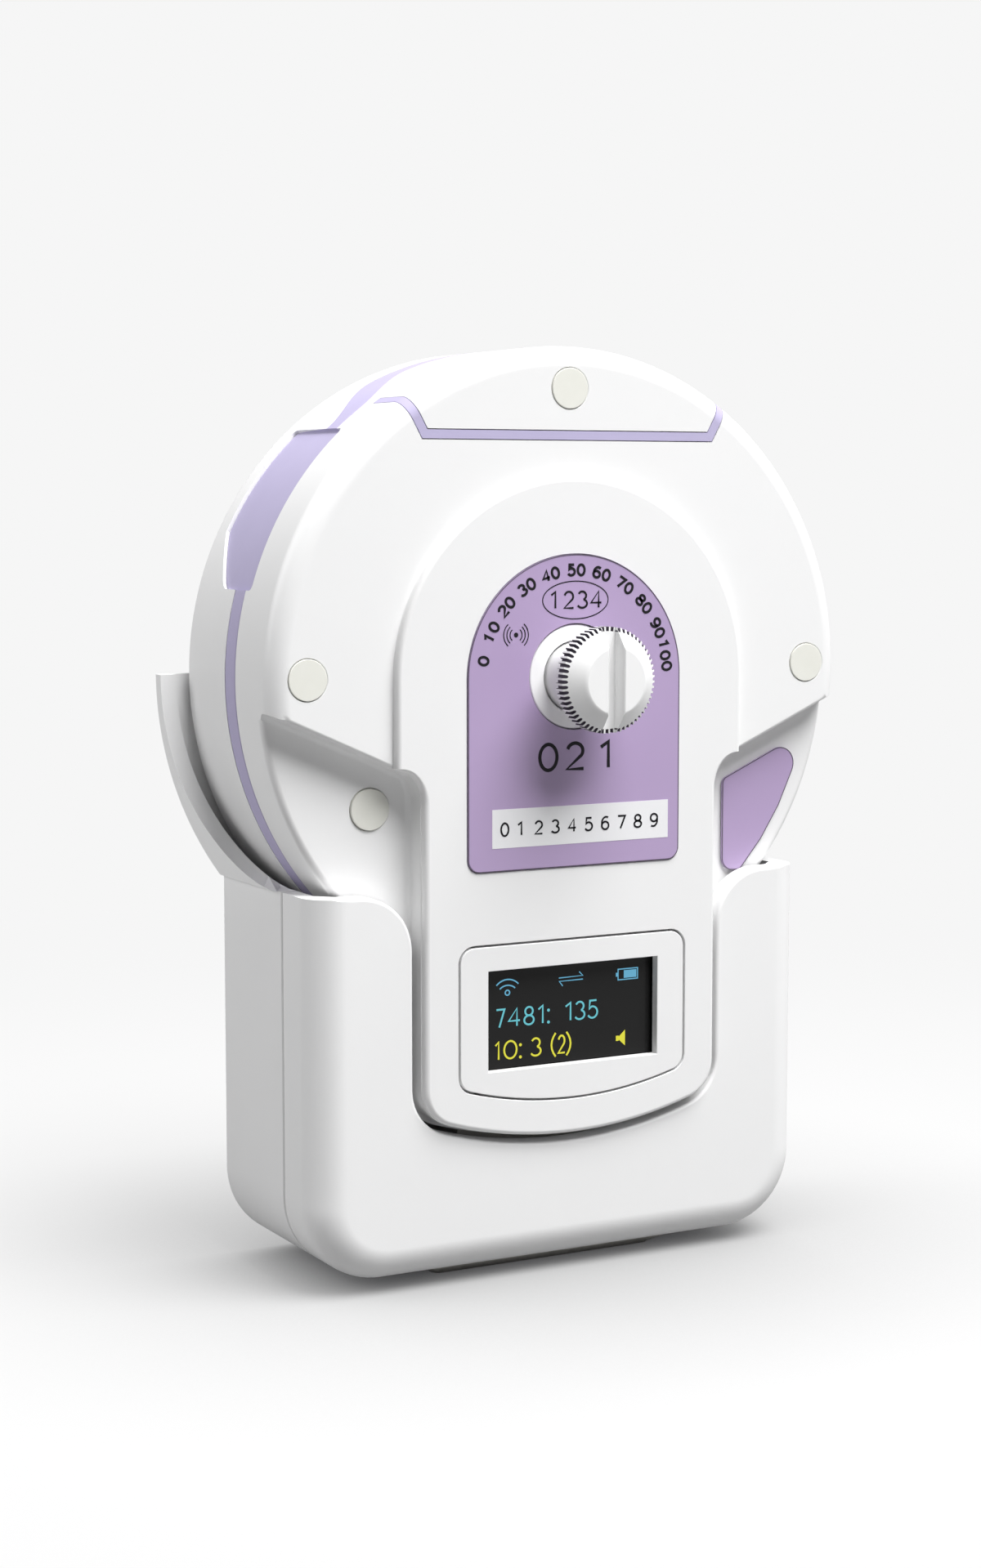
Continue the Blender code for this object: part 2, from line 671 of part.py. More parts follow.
def case_screws():
    side_x = DISC_RADIUS - PLUG_SIDE_INSET
    low_x = ARCH_RADIUS + PLUG_LOW_OUTSET
    hidden = DISC_RADIUS - HIDDEN_SCREW_INSET
    hidden_x = hidden * math.sin(HIDDEN_SCREW_ANGLE)
    hidden_z = hidden * math.cos(HIDDEN_SCREW_ANGLE)
    return (
        ("top", 0, DISC_RADIUS - PLUG_TOP_INSET, FRONT_Y, True),
        ("left", -side_x, 0, FRONT_Y, True),
        ("right", side_x, 0, FRONT_Y, True),
        ("lower_left", -low_x, -PLUG_LOW_DROP, RECESS_Y, True),
        ("lower_right", hidden_x, hidden_z, RECESS_Y, False),
    )


def angle_from_top(x, z):
    return math.acos(z / math.hypot(x, z))


def screw_seat_y(face_y):
    """Depth of the screw head's seat under its plug."""
    return face_y + PLUG_THICKNESS + 2 * GAP + SCREW_HEAD_HEIGHT + GAP


# The transducer's pieces


def build_front_shell(body, finish):
    floor_y = RECESS_Y + SHELL_WALL
    cup = disc_profile(RECESS_Y, SHELL_SEAM_Y, RECESS_FILLET, 0)[:-2]
    cup += [(DISC_RADIUS, front_rim_y), (CAVITY_RADIUS, front_rim_y)]
    cup += [(CAVITY_RADIUS, floor_y), (0, floor_y)]
    shell = shape("front_shell", body, lambda bm: add_turned(bm, cup), finish)
    face = shape(
        "face_disc",
        body,
        lambda bm: add_turned(
            bm, disc_profile(FRONT_Y, RECESS_Y + RECESS_FILLET, DISC_FRONT_FILLET, 0)
        ),
    )
    keep = shape(
        "above_recess",
        body,
        lambda bm: add_plate(
            bm,
            above_recess_outline(),
            [(FRONT_Y - OVERRUN, -RECESS_FILLET)]
            + fillet_stations(FRONT_Y, FRONT_Y + RECESS_FILLET, RECESS_FILLET)
            + [(BAND_FRONT_Y, 0)],
        ),
    )
    boolean(face, "INTERSECT", keep)
    neck = shape(
        "neck_front",
        body,
        lambda bm: add_plate(
            bm,
            neck_outline,
            fillet_stations(NECK_Y, FRONT_Y, NECK_EDGE) + [(SHELL_SEAM_Y - GAP / 2, 0)],
        ),
    )

    def disc_inside(bm):
        start = RECESS_Y + SHELL_WALL / 2
        add_rod(bm, CAVITY_RADIUS + RIM_WALL / 2, start, DISC_REAR_Y, steps=DISC_STEPS)

    def neck_cavity(bm):
        add_plate(
            bm,
            neck_outline,
            [(NECK_Y + SHELL_WALL, -SHELL_WALL), (SHELL_SEAM_Y + OVERRUN, -SHELL_WALL)],
        )

    def posts(bm):
        for _, x, z, face_y, _ in case_screws():
            end = front_rim_y(angle_from_top(x, z)) - GAP / 2
            add_rod(bm, POST_RADIUS, face_y + SHELL_WALL / 2, end, (x, z))

    def knob_boss(bm):
        add_rod(bm, KNOB_BOSS_RADIUS, NECK_Y + SHELL_WALL / 2, knob_boss_end())

    boolean(neck, "DIFFERENCE", shape("disc_inside_front", body, disc_inside))
    boolean(shell, "UNION", face, neck)
    boolean(shell, "DIFFERENCE", shape("neck_cavity_front", body, neck_cavity))
    boolean(shell, "UNION", shape("front_posts", body, posts), shape("knob_boss", body, knob_boss))
    boolean(
        shell,
        "DIFFERENCE",
        shape("screw_holes_front", body, add_front_screw_holes),
        shape("knob_hole", body, add_knob_hole),
        shape("label_seat", body, add_label_seat),
        shape("bezel_seat", body, add_bezel_seat),
        shape("display_opening", body, add_display_opening),
        shape("band_groove", body, add_band_groove),
        shape("charge_pad_seats", body, add_charge_pad_seats),
        inlay_groove(body),
    )
    return shell


def knob_boss_end():
    return RING_Y + GAP + INSERT_LENGTH + GAP + SHELL_WALL / 2


def add_front_screw_holes(bm):
    for _, x, z, face_y, plugged in case_screws():
        seat = screw_seat_y(face_y)
        plug_floor = face_y + PLUG_THICKNESS + GAP
        head_radius = SCREW_HEAD_RADIUS + GAP
        shank_radius = SCREW_SHANK_RADIUS + GAP
        mouth_radius = PLUG_RADIUS + PLUG_GAP if plugged else head_radius
        profile = [(0, face_y - OVERRUN), (mouth_radius, face_y - OVERRUN)]
        if plugged:
            profile += [(mouth_radius, plug_floor), (head_radius, plug_floor)]
        profile += [(head_radius, seat), (shank_radius, seat)]
        end = front_rim_y(angle_from_top(x, z)) + OVERRUN
        profile += [(shank_radius, end), (0, end)]
        add_turned(bm, profile, (x, z), SMALL_STEPS)


def add_knob_hole(bm):
    ring_radius = RING_RADIUS + GAP
    ring_floor = RING_Y + GAP
    insert_radius = INSERT_RADIUS + GAP
    insert_end = ring_floor + INSERT_LENGTH + GAP
    add_turned(
        bm,
        [
            (0, NECK_Y - OVERRUN),
            (ring_radius, NECK_Y - OVERRUN),
            (ring_radius, ring_floor),
            (insert_radius, ring_floor),
            (insert_radius, insert_end),
            (0, insert_end),
        ],
        steps=ROUND_STEPS,
    )


def add_label_seat(bm):
    floor = NECK_Y + LABEL_THICKNESS + GAP / 2
    add_plate(bm, label_outline(), [(NECK_Y - OVERRUN, TRIM_GAP), (floor, TRIM_GAP)])


def add_bezel_seat(bm):
    floor = NECK_Y + BEZEL_THICKNESS + GAP
    add_plate(bm, bezel_outline(), [(NECK_Y - OVERRUN, BEZEL_GROOVE), (floor, BEZEL_GROOVE)])


def display_outline():
    top = WINDOW_TOP_Z + DISPLAY_TOP_MARGIN
    return box_outline(-DISPLAY_HALF_WIDTH, DISPLAY_HALF_WIDTH, top - DISPLAY_HEIGHT, top)


def add_display_opening(bm):
    start = NECK_Y + BEZEL_THICKNESS
    add_plate(bm, display_outline(), [(start, GAP), (NECK_Y + 2 * SHELL_WALL, GAP)])


def add_band_groove(bm):
    add_band(
        bm,
        DISC_RADIUS - BAND_THICKNESS - GAP,
        DISC_RADIUS + OVERRUN,
        TRIM_GAP,
        sinks=False,
    )


def charge_pad_places():
    """(x, z of the pad's lower face) of each charging pad in the neck's curved lower end."""
    places = []
    for i in range(PIN_COUNT):
        x = PIN_PITCH * (i - (PIN_COUNT - 1) / 2)
        places.append((x, -math.sqrt(NECK_ARC_RADIUS**2 - x * x)))
    return places


def add_charge_pad_seats(bm):
    radius = CHARGE_PAD_RADIUS + GAP
    for x, z in charge_pad_places():
        outline = circle(radius, SMALL_STEPS, (x, PIN_Y))
        add_column(bm, outline, [(z - OVERRUN, 0), (z + CHARGE_PAD_THICKNESS + GAP, 0)])


def inlay_skin(body, name, gap):
    """The outer skin of the round body that the inlay line is taken from, as two tool shapes."""
    thickness = INLAY_THICKNESS + gap
    outer = shape(
        name + "_outside",
        body,
        lambda bm: add_turned(
            bm,
            disc_profile(
                FRONT_Y - (OVERRUN if gap else 0),
                BAND_FRONT_Y,
                DISC_FRONT_FILLET,
                0,
                DISC_RADIUS + (OVERRUN if gap else 0),
            ),
        ),
    )
    inner = shape(
        name + "_inside",
        body,
        lambda bm: add_turned(
            bm,
            disc_profile(
                FRONT_Y + thickness,
                BAND_FRONT_Y + OVERRUN,
                DISC_FRONT_FILLET,
                0,
                DISC_RADIUS - thickness,
            ),
        ),
    )
    return outer, inner


def add_inlay_blank(bm, gap):
    add_plate(
        bm,
        inlay_outline(gap),
        [(FRONT_Y - 2 * OVERRUN, 0), (FRONT_Y + INLAY_REACH + gap, 0)],
    )


def inlay_groove(body):
    groove = shape("inlay_groove", body, lambda bm: add_inlay_blank(bm, TRIM_GAP))
    outer, inner = inlay_skin(body, "inlay_groove", TRIM_GAP)
    boolean(groove, "INTERSECT", outer)
    boolean(groove, "DIFFERENCE", inner)
    return groove


def build_inlay(body, finish):
    inlay = shape("top_cap_inlay", body, lambda bm: add_inlay_blank(bm, 0), finish)
    outer, inner = inlay_skin(body, "inlay", 0)
    boolean(inlay, "INTERSECT", outer)
    boolean(inlay, "DIFFERENCE", inner)


def build_rear_shell(body, finish):
    ledge_y = ACOUSTIC_Y - GAP
    seat_radius = CAVITY_RADIUS + ACOUSTIC_LEDGE
    outside = disc_profile(SHELL_SEAM_Y, DISC_REAR_Y, 0, DISC_REAR_FILLET)[-FILLET_STEPS - 2 : -1]
    ring = [(CAVITY_RADIUS, rear_rim_y), (DISC_RADIUS, rear_rim_y)] + outside
    ring += [(seat_radius, DISC_REAR_Y), (seat_radius, ledge_y), (CAVITY_RADIUS, ledge_y)]
    shell = shape("rear_shell", body, lambda bm: add_turned(bm, ring), finish)
    neck = shape(
        "neck_rear",
        body,
        lambda bm: add_plate(
            bm,
            neck_outline,
            [(SHELL_SEAM_Y + GAP / 2, 0)]
            + fillet_stations(NECK_REAR_Y, NECK_REAR_Y - NECK_REAR_FILLET, NECK_REAR_FILLET)[::-1],
        ),
    )

    def disc_inside(bm):
        start = SHELL_SEAM_Y - OVERRUN
        add_rod(bm, CAVITY_RADIUS + RIM_WALL / 2, start, DISC_REAR_Y, steps=DISC_STEPS)

    def neck_cavity(bm):
        start = SHELL_SEAM_Y - OVERRUN
        add_plate(bm, neck_outline, [(start, -SHELL_WALL), (NECK_REAR_Y - SHELL_WALL, -SHELL_WALL)])

    def posts(bm):
        for _, x, z, _, _ in case_screws():
            add_rear_post(bm, x, z)

    def pilots(bm):
        for _, x, z, _, _ in case_screws():
            start = rear_rim_y(angle_from_top(x, z))
            add_rod(bm, SCREW_SHANK_RADIUS + PLUG_GAP, start, start + SCREW_BITE + GAP, (x, z))

    boolean(neck, "DIFFERENCE", shape("disc_inside_rear", body, disc_inside))
    boolean(shell, "UNION", neck)
    boolean(
        shell,
        "DIFFERENCE",
        shape("neck_cavity_rear", body, neck_cavity),
        shape("band_groove_rear", body, add_band_groove),
    )
    boolean(shell, "UNION", shape("rear_posts", body, posts))
    boolean(shell, "DIFFERENCE", shape("rear_pilots", body, pilots))
    return shell


def rear_post_end(x, z):
    """A post beside the carrier plate reaches the acoustic face, and one behind it stops short."""
    if math.hypot(x, z) - REAR_POST_RADIUS > CARRIER_RADIUS + GAP:
        return ACOUSTIC_Y - 2 * GAP
    return CARRIER_Y - GAP


def add_rear_post(bm, x, z):
    """A screw post that widens into a web out to the rim wall, along the radius through it."""
    reach = math.hypot(x, z)
    ux, uz = x / reach, z / reach
    end = CAVITY_RADIUS + RIM_WALL / 5
    corners = arc(reach, 0, REAR_POST_RADIUS, math.pi / 2, math.pi * 3 / 2, SMALL_STEPS // 2)
    corners += [(end, -REAR_POST_RADIUS), (end, REAR_POST_RADIUS)]
    outline = [(ux * a - uz * b, uz * a + ux * b) for a, b in corners]
    start = rear_rim_y(angle_from_top(x, z)) + GAP / 2
    add_plate(bm, outline, [(start, 0), (rear_post_end(x, z), 0)])


def build_rim_band(body, finish):
    shape(
        "rim_band",
        body,
        lambda bm: add_band(bm, DISC_RADIUS - BAND_THICKNESS, DISC_RADIUS, 0, sinks=True),
        finish,
    )


def build_acoustic_face(body, finish):
    radius = CAVITY_RADIUS + ACOUSTIC_LEDGE - GAP
    profile = disc_profile(ACOUSTIC_Y, DISC_REAR_Y, 0, ACOUSTIC_EDGE, radius)
    shape("acoustic_face", body, lambda bm: add_turned(bm, profile), finish)


def build_labels(body, purple):
    front = NECK_Y - GAP / 2
    label = shape(
        "type_label",
        body,
        lambda bm: add_plate(bm, label_outline(), [(front, 0), (front + LABEL_THICKNESS, 0)]),
        purple,
    )
    hole = shape(
        "label_hole",
        body,
        lambda bm: add_rod(
            bm, LABEL_HOLE_RADIUS, NECK_Y - OVERRUN, NECK_Y + OVERRUN, steps=ROUND_STEPS
        ),
    )
    boolean(label, "DIFFERENCE", hole)
    low = RECESS_Y - GAP / 2
    shape(
        "side_label",
        body,
        lambda bm: add_plate(
            bm, side_label_outline(), [(low - SIDE_LABEL_THICKNESS, 0), (low, 0)]
        ),
        purple,
    )


def build_display(body, bezel_finish, glass):
    bezel = shape(
        "display_bezel",
        body,
        lambda bm: add_plate(
            bm,
            bezel_outline(),
            fillet_stations(NECK_Y, NECK_Y + BEZEL_EDGE, BEZEL_EDGE) + [(NECK_Y + BEZEL_THICKNESS, 0)],
        ),
        bezel_finish,
    )
    low = WINDOW_TOP_Z - WINDOW_HEIGHT
    outline = box_outline(-WINDOW_HALF_WIDTH, WINDOW_HALF_WIDTH, low, WINDOW_TOP_Z)
    window = shape(
        "window",
        body,
        lambda bm: add_plate(bm, outline, [(NECK_Y - OVERRUN, 0), (NECK_Y + 2 * BEZEL_THICKNESS, 0)]),
    )
    boolean(bezel, "DIFFERENCE", window)
    start = NECK_Y + BEZEL_THICKNESS + GAP
    shape(
        "display_module",
        body,
        lambda bm: add_plate(bm, display_outline(), [(start, 0), (start + DISPLAY_THICKNESS, 0)]),
        glass,
    )


def build_screws_and_plugs(body, steel, plug_finish):
    for name, x, z, face_y, plugged in case_screws():
        seat = screw_seat_y(face_y) - GAP
        tip = rear_rim_y(angle_from_top(x, z)) + SCREW_BITE
        build_screw("case_screw_" + name, body, steel, (x, z), seat, tip, 1)
        if plugged:
            proud = PLUG_PROUD if face_y == RECESS_Y else TRIM_GAP
            edge = PLUG_PROUD / 2
            start = face_y - proud
            profile = [
                (0, start),
                (PLUG_RADIUS - edge, start),
                (PLUG_RADIUS, start + edge),
                (PLUG_RADIUS, face_y + PLUG_THICKNESS),
                (0, face_y + PLUG_THICKNESS),
            ]
            shape(
                "screw_plug_" + name,
                body,
                lambda bm, profile=profile: add_turned(bm, profile, steps=ROUND_STEPS),
                plug_finish,
                (x, 0, z),
            )


def build_screw(name, parent, finish, place, seat_y, tip_y, facing):
    """A screw along Y with a hexagon socket. Facing is 1 where its head points to the front."""
    head = -facing * SCREW_HEAD_HEIGHT
    socket = head + facing * SCREW_SOCKET_DEPTH
    profile = [
        (0, socket),
        (SCREW_SOCKET_RADIUS, socket),
        (SCREW_SOCKET_RADIUS, head),
        (SCREW_HEAD_RADIUS, head),
        (SCREW_HEAD_RADIUS, 0),
        (SCREW_SHANK_RADIUS, 0),
        (SCREW_SHANK_RADIUS, tip_y - seat_y),
        (0, tip_y - seat_y),
    ]
    steps = 2 * CORNER_STEPS
    shape(
        name,
        parent,
        lambda bm: add_turned(bm, profile, steps=steps),
        finish,
        (place[0], seat_y, place[1]),
    )


def build_inner_pieces(body, board_finish, cell_finish, ceramic, carrier_finish, brass):
    carrier_end = CARRIER_Y + CARRIER_THICKNESS
    shape(
        "crystal_carrier",
        body,
        lambda bm: add_rod(bm, CARRIER_RADIUS, CARRIER_Y, carrier_end, steps=2 * ROUND_STEPS),
        carrier_finish,
    )
    places = [(0, 0)] + circle(CRYSTAL_RING_RADIUS, CRYSTALS_ROUND)
    for i, (x, z) in enumerate(places):
        shape(
            f"crystal_{i + 1}",
            body,
            lambda bm: add_rod(bm, CRYSTAL_RADIUS, CRYSTAL_Y, CRYSTAL_Y + CRYSTAL_THICKNESS),
            ceramic,
            (x, 0, z),
        )
    tongue = BOARD_TONGUE_HALF_WIDTH
    start = math.pi / 2 - math.acos(tongue / BOARD_RADIUS)
    tongue_z = BOARD_TONGUE_INSET - NECK_ARC_RADIUS
    outline = [(-tongue, tongue_z), (tongue, tongue_z)]
    outline += arc(0, 0, BOARD_RADIUS, start - math.pi / 2, math.pi * 3 / 2 - start, ROUND_STEPS)
    board_y = knob_boss_end() + GAP
    shape(
        "main_board",
        body,
        lambda bm: add_plate(bm, outline, [(board_y, 0), (board_y + BOARD_THICKNESS, 0)]),
        board_finish,
    )
    cell = box_outline(
        -BATTERY_HALF_WIDTH,
        BATTERY_HALF_WIDTH,
        -BATTERY_HALF_HEIGHT,
        BATTERY_HALF_HEIGHT,
        BATTERY_CORNER_RADIUS,
    )
    cell_end = CARRIER_Y - GAP
    shape(
        "battery",
        body,
        lambda bm: add_plate(bm, cell, [(cell_end - BATTERY_THICKNESS, 0), (cell_end, 0)]),
        cell_finish,
    )
    insert_start = RING_Y + GAP + GAP / 2
    bore = KNOB_STUD_RADIUS + GAP
    profile = [
        (bore, insert_start),
        (INSERT_RADIUS, insert_start),
        (INSERT_RADIUS, insert_start + INSERT_LENGTH),
        (bore, insert_start + INSERT_LENGTH),
    ]
    shape("knob_insert", body, lambda bm: add_turned(bm, profile, steps=ROUND_STEPS), brass)
    for i, (x, z) in enumerate(charge_pad_places()):
        outline = circle(CHARGE_PAD_RADIUS, SMALL_STEPS, (0, 0))
        shape(
            f"charge_pad_{i + 1}",
            body,
            lambda bm, outline=outline: add_column(bm, outline, [(0, 0), (CHARGE_PAD_THICKNESS, 0)]),
            brass,
            (x, PIN_Y, z),
        )


# The belt knob, on its own empties because it slides and turns as it unscrews


def build_knob(slide, turn, knob_finish, ring_finish):
    stem_bore = KNOB_STEM_RADIUS + GAP
    edge = RING_EDGE
    top = -RING_THICKNESS
    ring = [
        (stem_bore, 0),
        (stem_bore, top),
        (RING_RADIUS - edge, top),
        (RING_RADIUS, top + edge),
        (RING_RADIUS, 0),
    ]
    shape("knob_seal_ring", slide, lambda bm: add_turned(bm, ring, steps=ROUND_STEPS), ring_finish)
    head_y = KNOB_HEAD_Y - RING_Y
    shoulder_y = -GAP
    stem = [
        (0, head_y + GAP - KNOB_SPIGOT_LENGTH),
        (KNOB_SPIGOT_RADIUS, head_y + GAP - KNOB_SPIGOT_LENGTH),
        (KNOB_SPIGOT_RADIUS, head_y + GAP),
        (KNOB_STEM_RADIUS, head_y + GAP),
        (KNOB_STEM_RADIUS, shoulder_y),
        (KNOB_STUD_RADIUS, shoulder_y),
        (KNOB_STUD_RADIUS, KNOB_STUD_LENGTH - GAP),
        (0, KNOB_STUD_LENGTH - GAP),
    ]
    shape("knob_stem", turn, lambda bm: add_turned(bm, stem, steps=ROUND_STEPS), knob_finish)
    head = shape("knob_head", turn, lambda bm: add_knob_head(bm, head_y), knob_finish)
    socket = KNOB_SPIGOT_RADIUS + GAP

    def spigot_hole(bm):
        add_rod(bm, socket, head_y + OVERRUN, head_y - KNOB_SPIGOT_LENGTH, steps=ROUND_STEPS)

    def coin_slot(bm):
        face = head_y - knob_head_length()
        half = KNOB_SLOT_WIDTH / 2
        outline = box_outline(-half, half, -KNOB_RADIUS - OVERRUN, KNOB_RADIUS + OVERRUN)
        add_plate(bm, outline, [(face - OVERRUN, 0), (face + KNOB_SLOT_DEPTH, 0)])

    boolean(
        head,
        "DIFFERENCE",
        shape("spigot_hole", turn, spigot_hole),
        shape("coin_slot", turn, coin_slot),
    )


def knob_head_length():
    return KNOB_UNDERCUT + KNOB_KNURL_WIDTH + KNOB_CONE_DEPTH


def add_knob_head(bm, head_y):
    """The knurled head: a chamfered underside, a toothed band, a cone and a flat face."""
    tooth = KNOB_TOOTH_DEPTH
    crest = KNOB_RADIUS
    knurl_start = head_y - KNOB_UNDERCUT
    knurl_end = knurl_start - KNOB_KNURL_WIDTH
    face = head_y - knob_head_length()
    sections = (
        (KNOB_UNDERCUT_RADIUS, 0, head_y),
        (crest, tooth, knurl_start),
        (crest, tooth, knurl_end),
        (crest - tooth, 0, knurl_end - tooth),
        (KNOB_FACE_RADIUS + KNOB_FACE_EDGE, 0, face + KNOB_FACE_EDGE / 2),
        (KNOB_FACE_RADIUS, 0, face),
    )
    rings = []
    for radius, depth, y in sections:
        points = []
        for i in range(2 * KNOB_TEETH):
            angle = math.pi * i / KNOB_TEETH
            reach = radius - (depth if i % 2 else 0)
            points.append((reach * math.cos(angle), y, reach * math.sin(angle)))
        rings.append(points)
    add_loft(bm, rings)


# The cradle's pieces


def cradle_outline():
    """The cradle seen from the front: square shoulders at the top, round corners below."""
    half = CRADLE_HALF_WIDTH
    return rounded(
        [
            (-half, CRADLE_BOTTOM_Z, CRADLE_CORNER_RADIUS),
            (half, CRADLE_BOTTOM_Z, CRADLE_CORNER_RADIUS),
            (half, CRADLE_TOP_Z + CRADLE_FRONT_FILLET * 2, 0),
            (-half, CRADLE_TOP_Z + CRADLE_FRONT_FILLET * 2, 0),
        ]
    )


def slot_outline():
    """What is cut from the cradle's front: the neck's slot, its flared mouth and all above the top."""
    half = NECK_HALF_WIDTH + SLOT_GAP
    far = CRADLE_HALF_WIDTH + 2 * OVERRUN
    high = CRADLE_TOP_Z + CRADLE_FRONT_FILLET * 3
    lower = bottom_arc(NECK_ARC_RADIUS + SLOT_GAP, half, NECK_CORNER_RADIUS + SLOT_GAP)
    mouth = SLOT_MOUTH_RADIUS
    right = arc(half + mouth, CRADLE_TOP_Z - mouth, mouth, math.pi, math.pi / 2, CORNER_STEPS)
    left = [(-x, z) for x, z in reversed(right)]
    outline = [(x, z + DISC_HEIGHT) for x, z in lower] + right
    return outline + [(far, CRADLE_TOP_Z), (far, high), (-far, high), (-far, CRADLE_TOP_Z)] + left


def cover_screws():
    """Places of the cradle's screws: two near its base and two beside the round body."""
    low_x = CRADLE_HALF_WIDTH - COVER_SCREW_LOW_INSET
    high_x = CRADLE_HALF_WIDTH - COVER_SCREW_HIGH_INSET
    high_z = DISC_HEIGHT - math.sqrt((DISC_RADIUS + COVER_SCREW_DISC_GAP) ** 2 - high_x**2)
    places = []
    for x, z in ((low_x, COVER_SCREW_LOW_Z), (high_x, high_z)):
        places += [(-x, z), (x, z)]
    return places


def build_cradle_front(finish):
    cover = shape(
        "cradle_front",
        None,
        lambda bm: add_plate(
            bm,
            cradle_outline(),
            fillet_stations(FRONT_Y, FRONT_Y + CRADLE_FRONT_FILLET, CRADLE_FRONT_FILLET)
            + [(SEAM_Y - GAP / 2, 0)],
        ),
        finish,
    )
    inside = FRONT_Y + CRADLE_FRONT_WALL

    def cavity(bm):
        add_plate(
            bm, cradle_outline(), [(inside, -CRADLE_WALL), (SEAM_Y + OVERRUN, -CRADLE_WALL)]
        )

    def slot(bm):
        flare = [(FRONT_Y - OVERRUN, SLOT_EDGE)]
        for y, growth in fillet_stations(FRONT_Y, FRONT_Y + SLOT_EDGE, SLOT_EDGE):
            flare.append((y, -growth))
        add_plate(bm, slot_outline(), flare + [(SEAM_Y + 2 * OVERRUN, 0)])

    def posts(bm):
        for place in cover_screws():
            add_rod(bm, COVER_POST_RADIUS, inside - OVERRUN / 2, SEAM_Y - GAP / 2, place)

    def pilots(bm):
        for place in cover_screws():
            add_rod(bm, SCREW_SHANK_RADIUS + PLUG_GAP, inside + GAP, SEAM_Y + OVERRUN, place)

    boolean(cover, "DIFFERENCE", shape("cradle_front_cavity", None, cavity))
    boolean(cover, "UNION", shape("cradle_front_posts", None, posts))
    boolean(
        cover,
        "DIFFERENCE",
        shape("cradle_front_pilots", None, pilots),
        shape("neck_slot", None, slot),
        shape("foot_seat_front", None, add_foot_seat),
    )


def crescent_front_y(z):
    """Depth of the crescent arm's front edge at a height: it sweeps back as it rises."""
    low_y = SEAM_Y + GAP / 2
    high_y = REAR_Y - CRESCENT_TIP_DEPTH
    share = min(max((DISC_HEIGHT - z) / (DISC_HEIGHT - CRADLE_TOP_Z), 0), 1)
    return low_y + (high_y - low_y) * (1 - share**CRESCENT_POWER) ** (1 / CRESCENT_POWER)


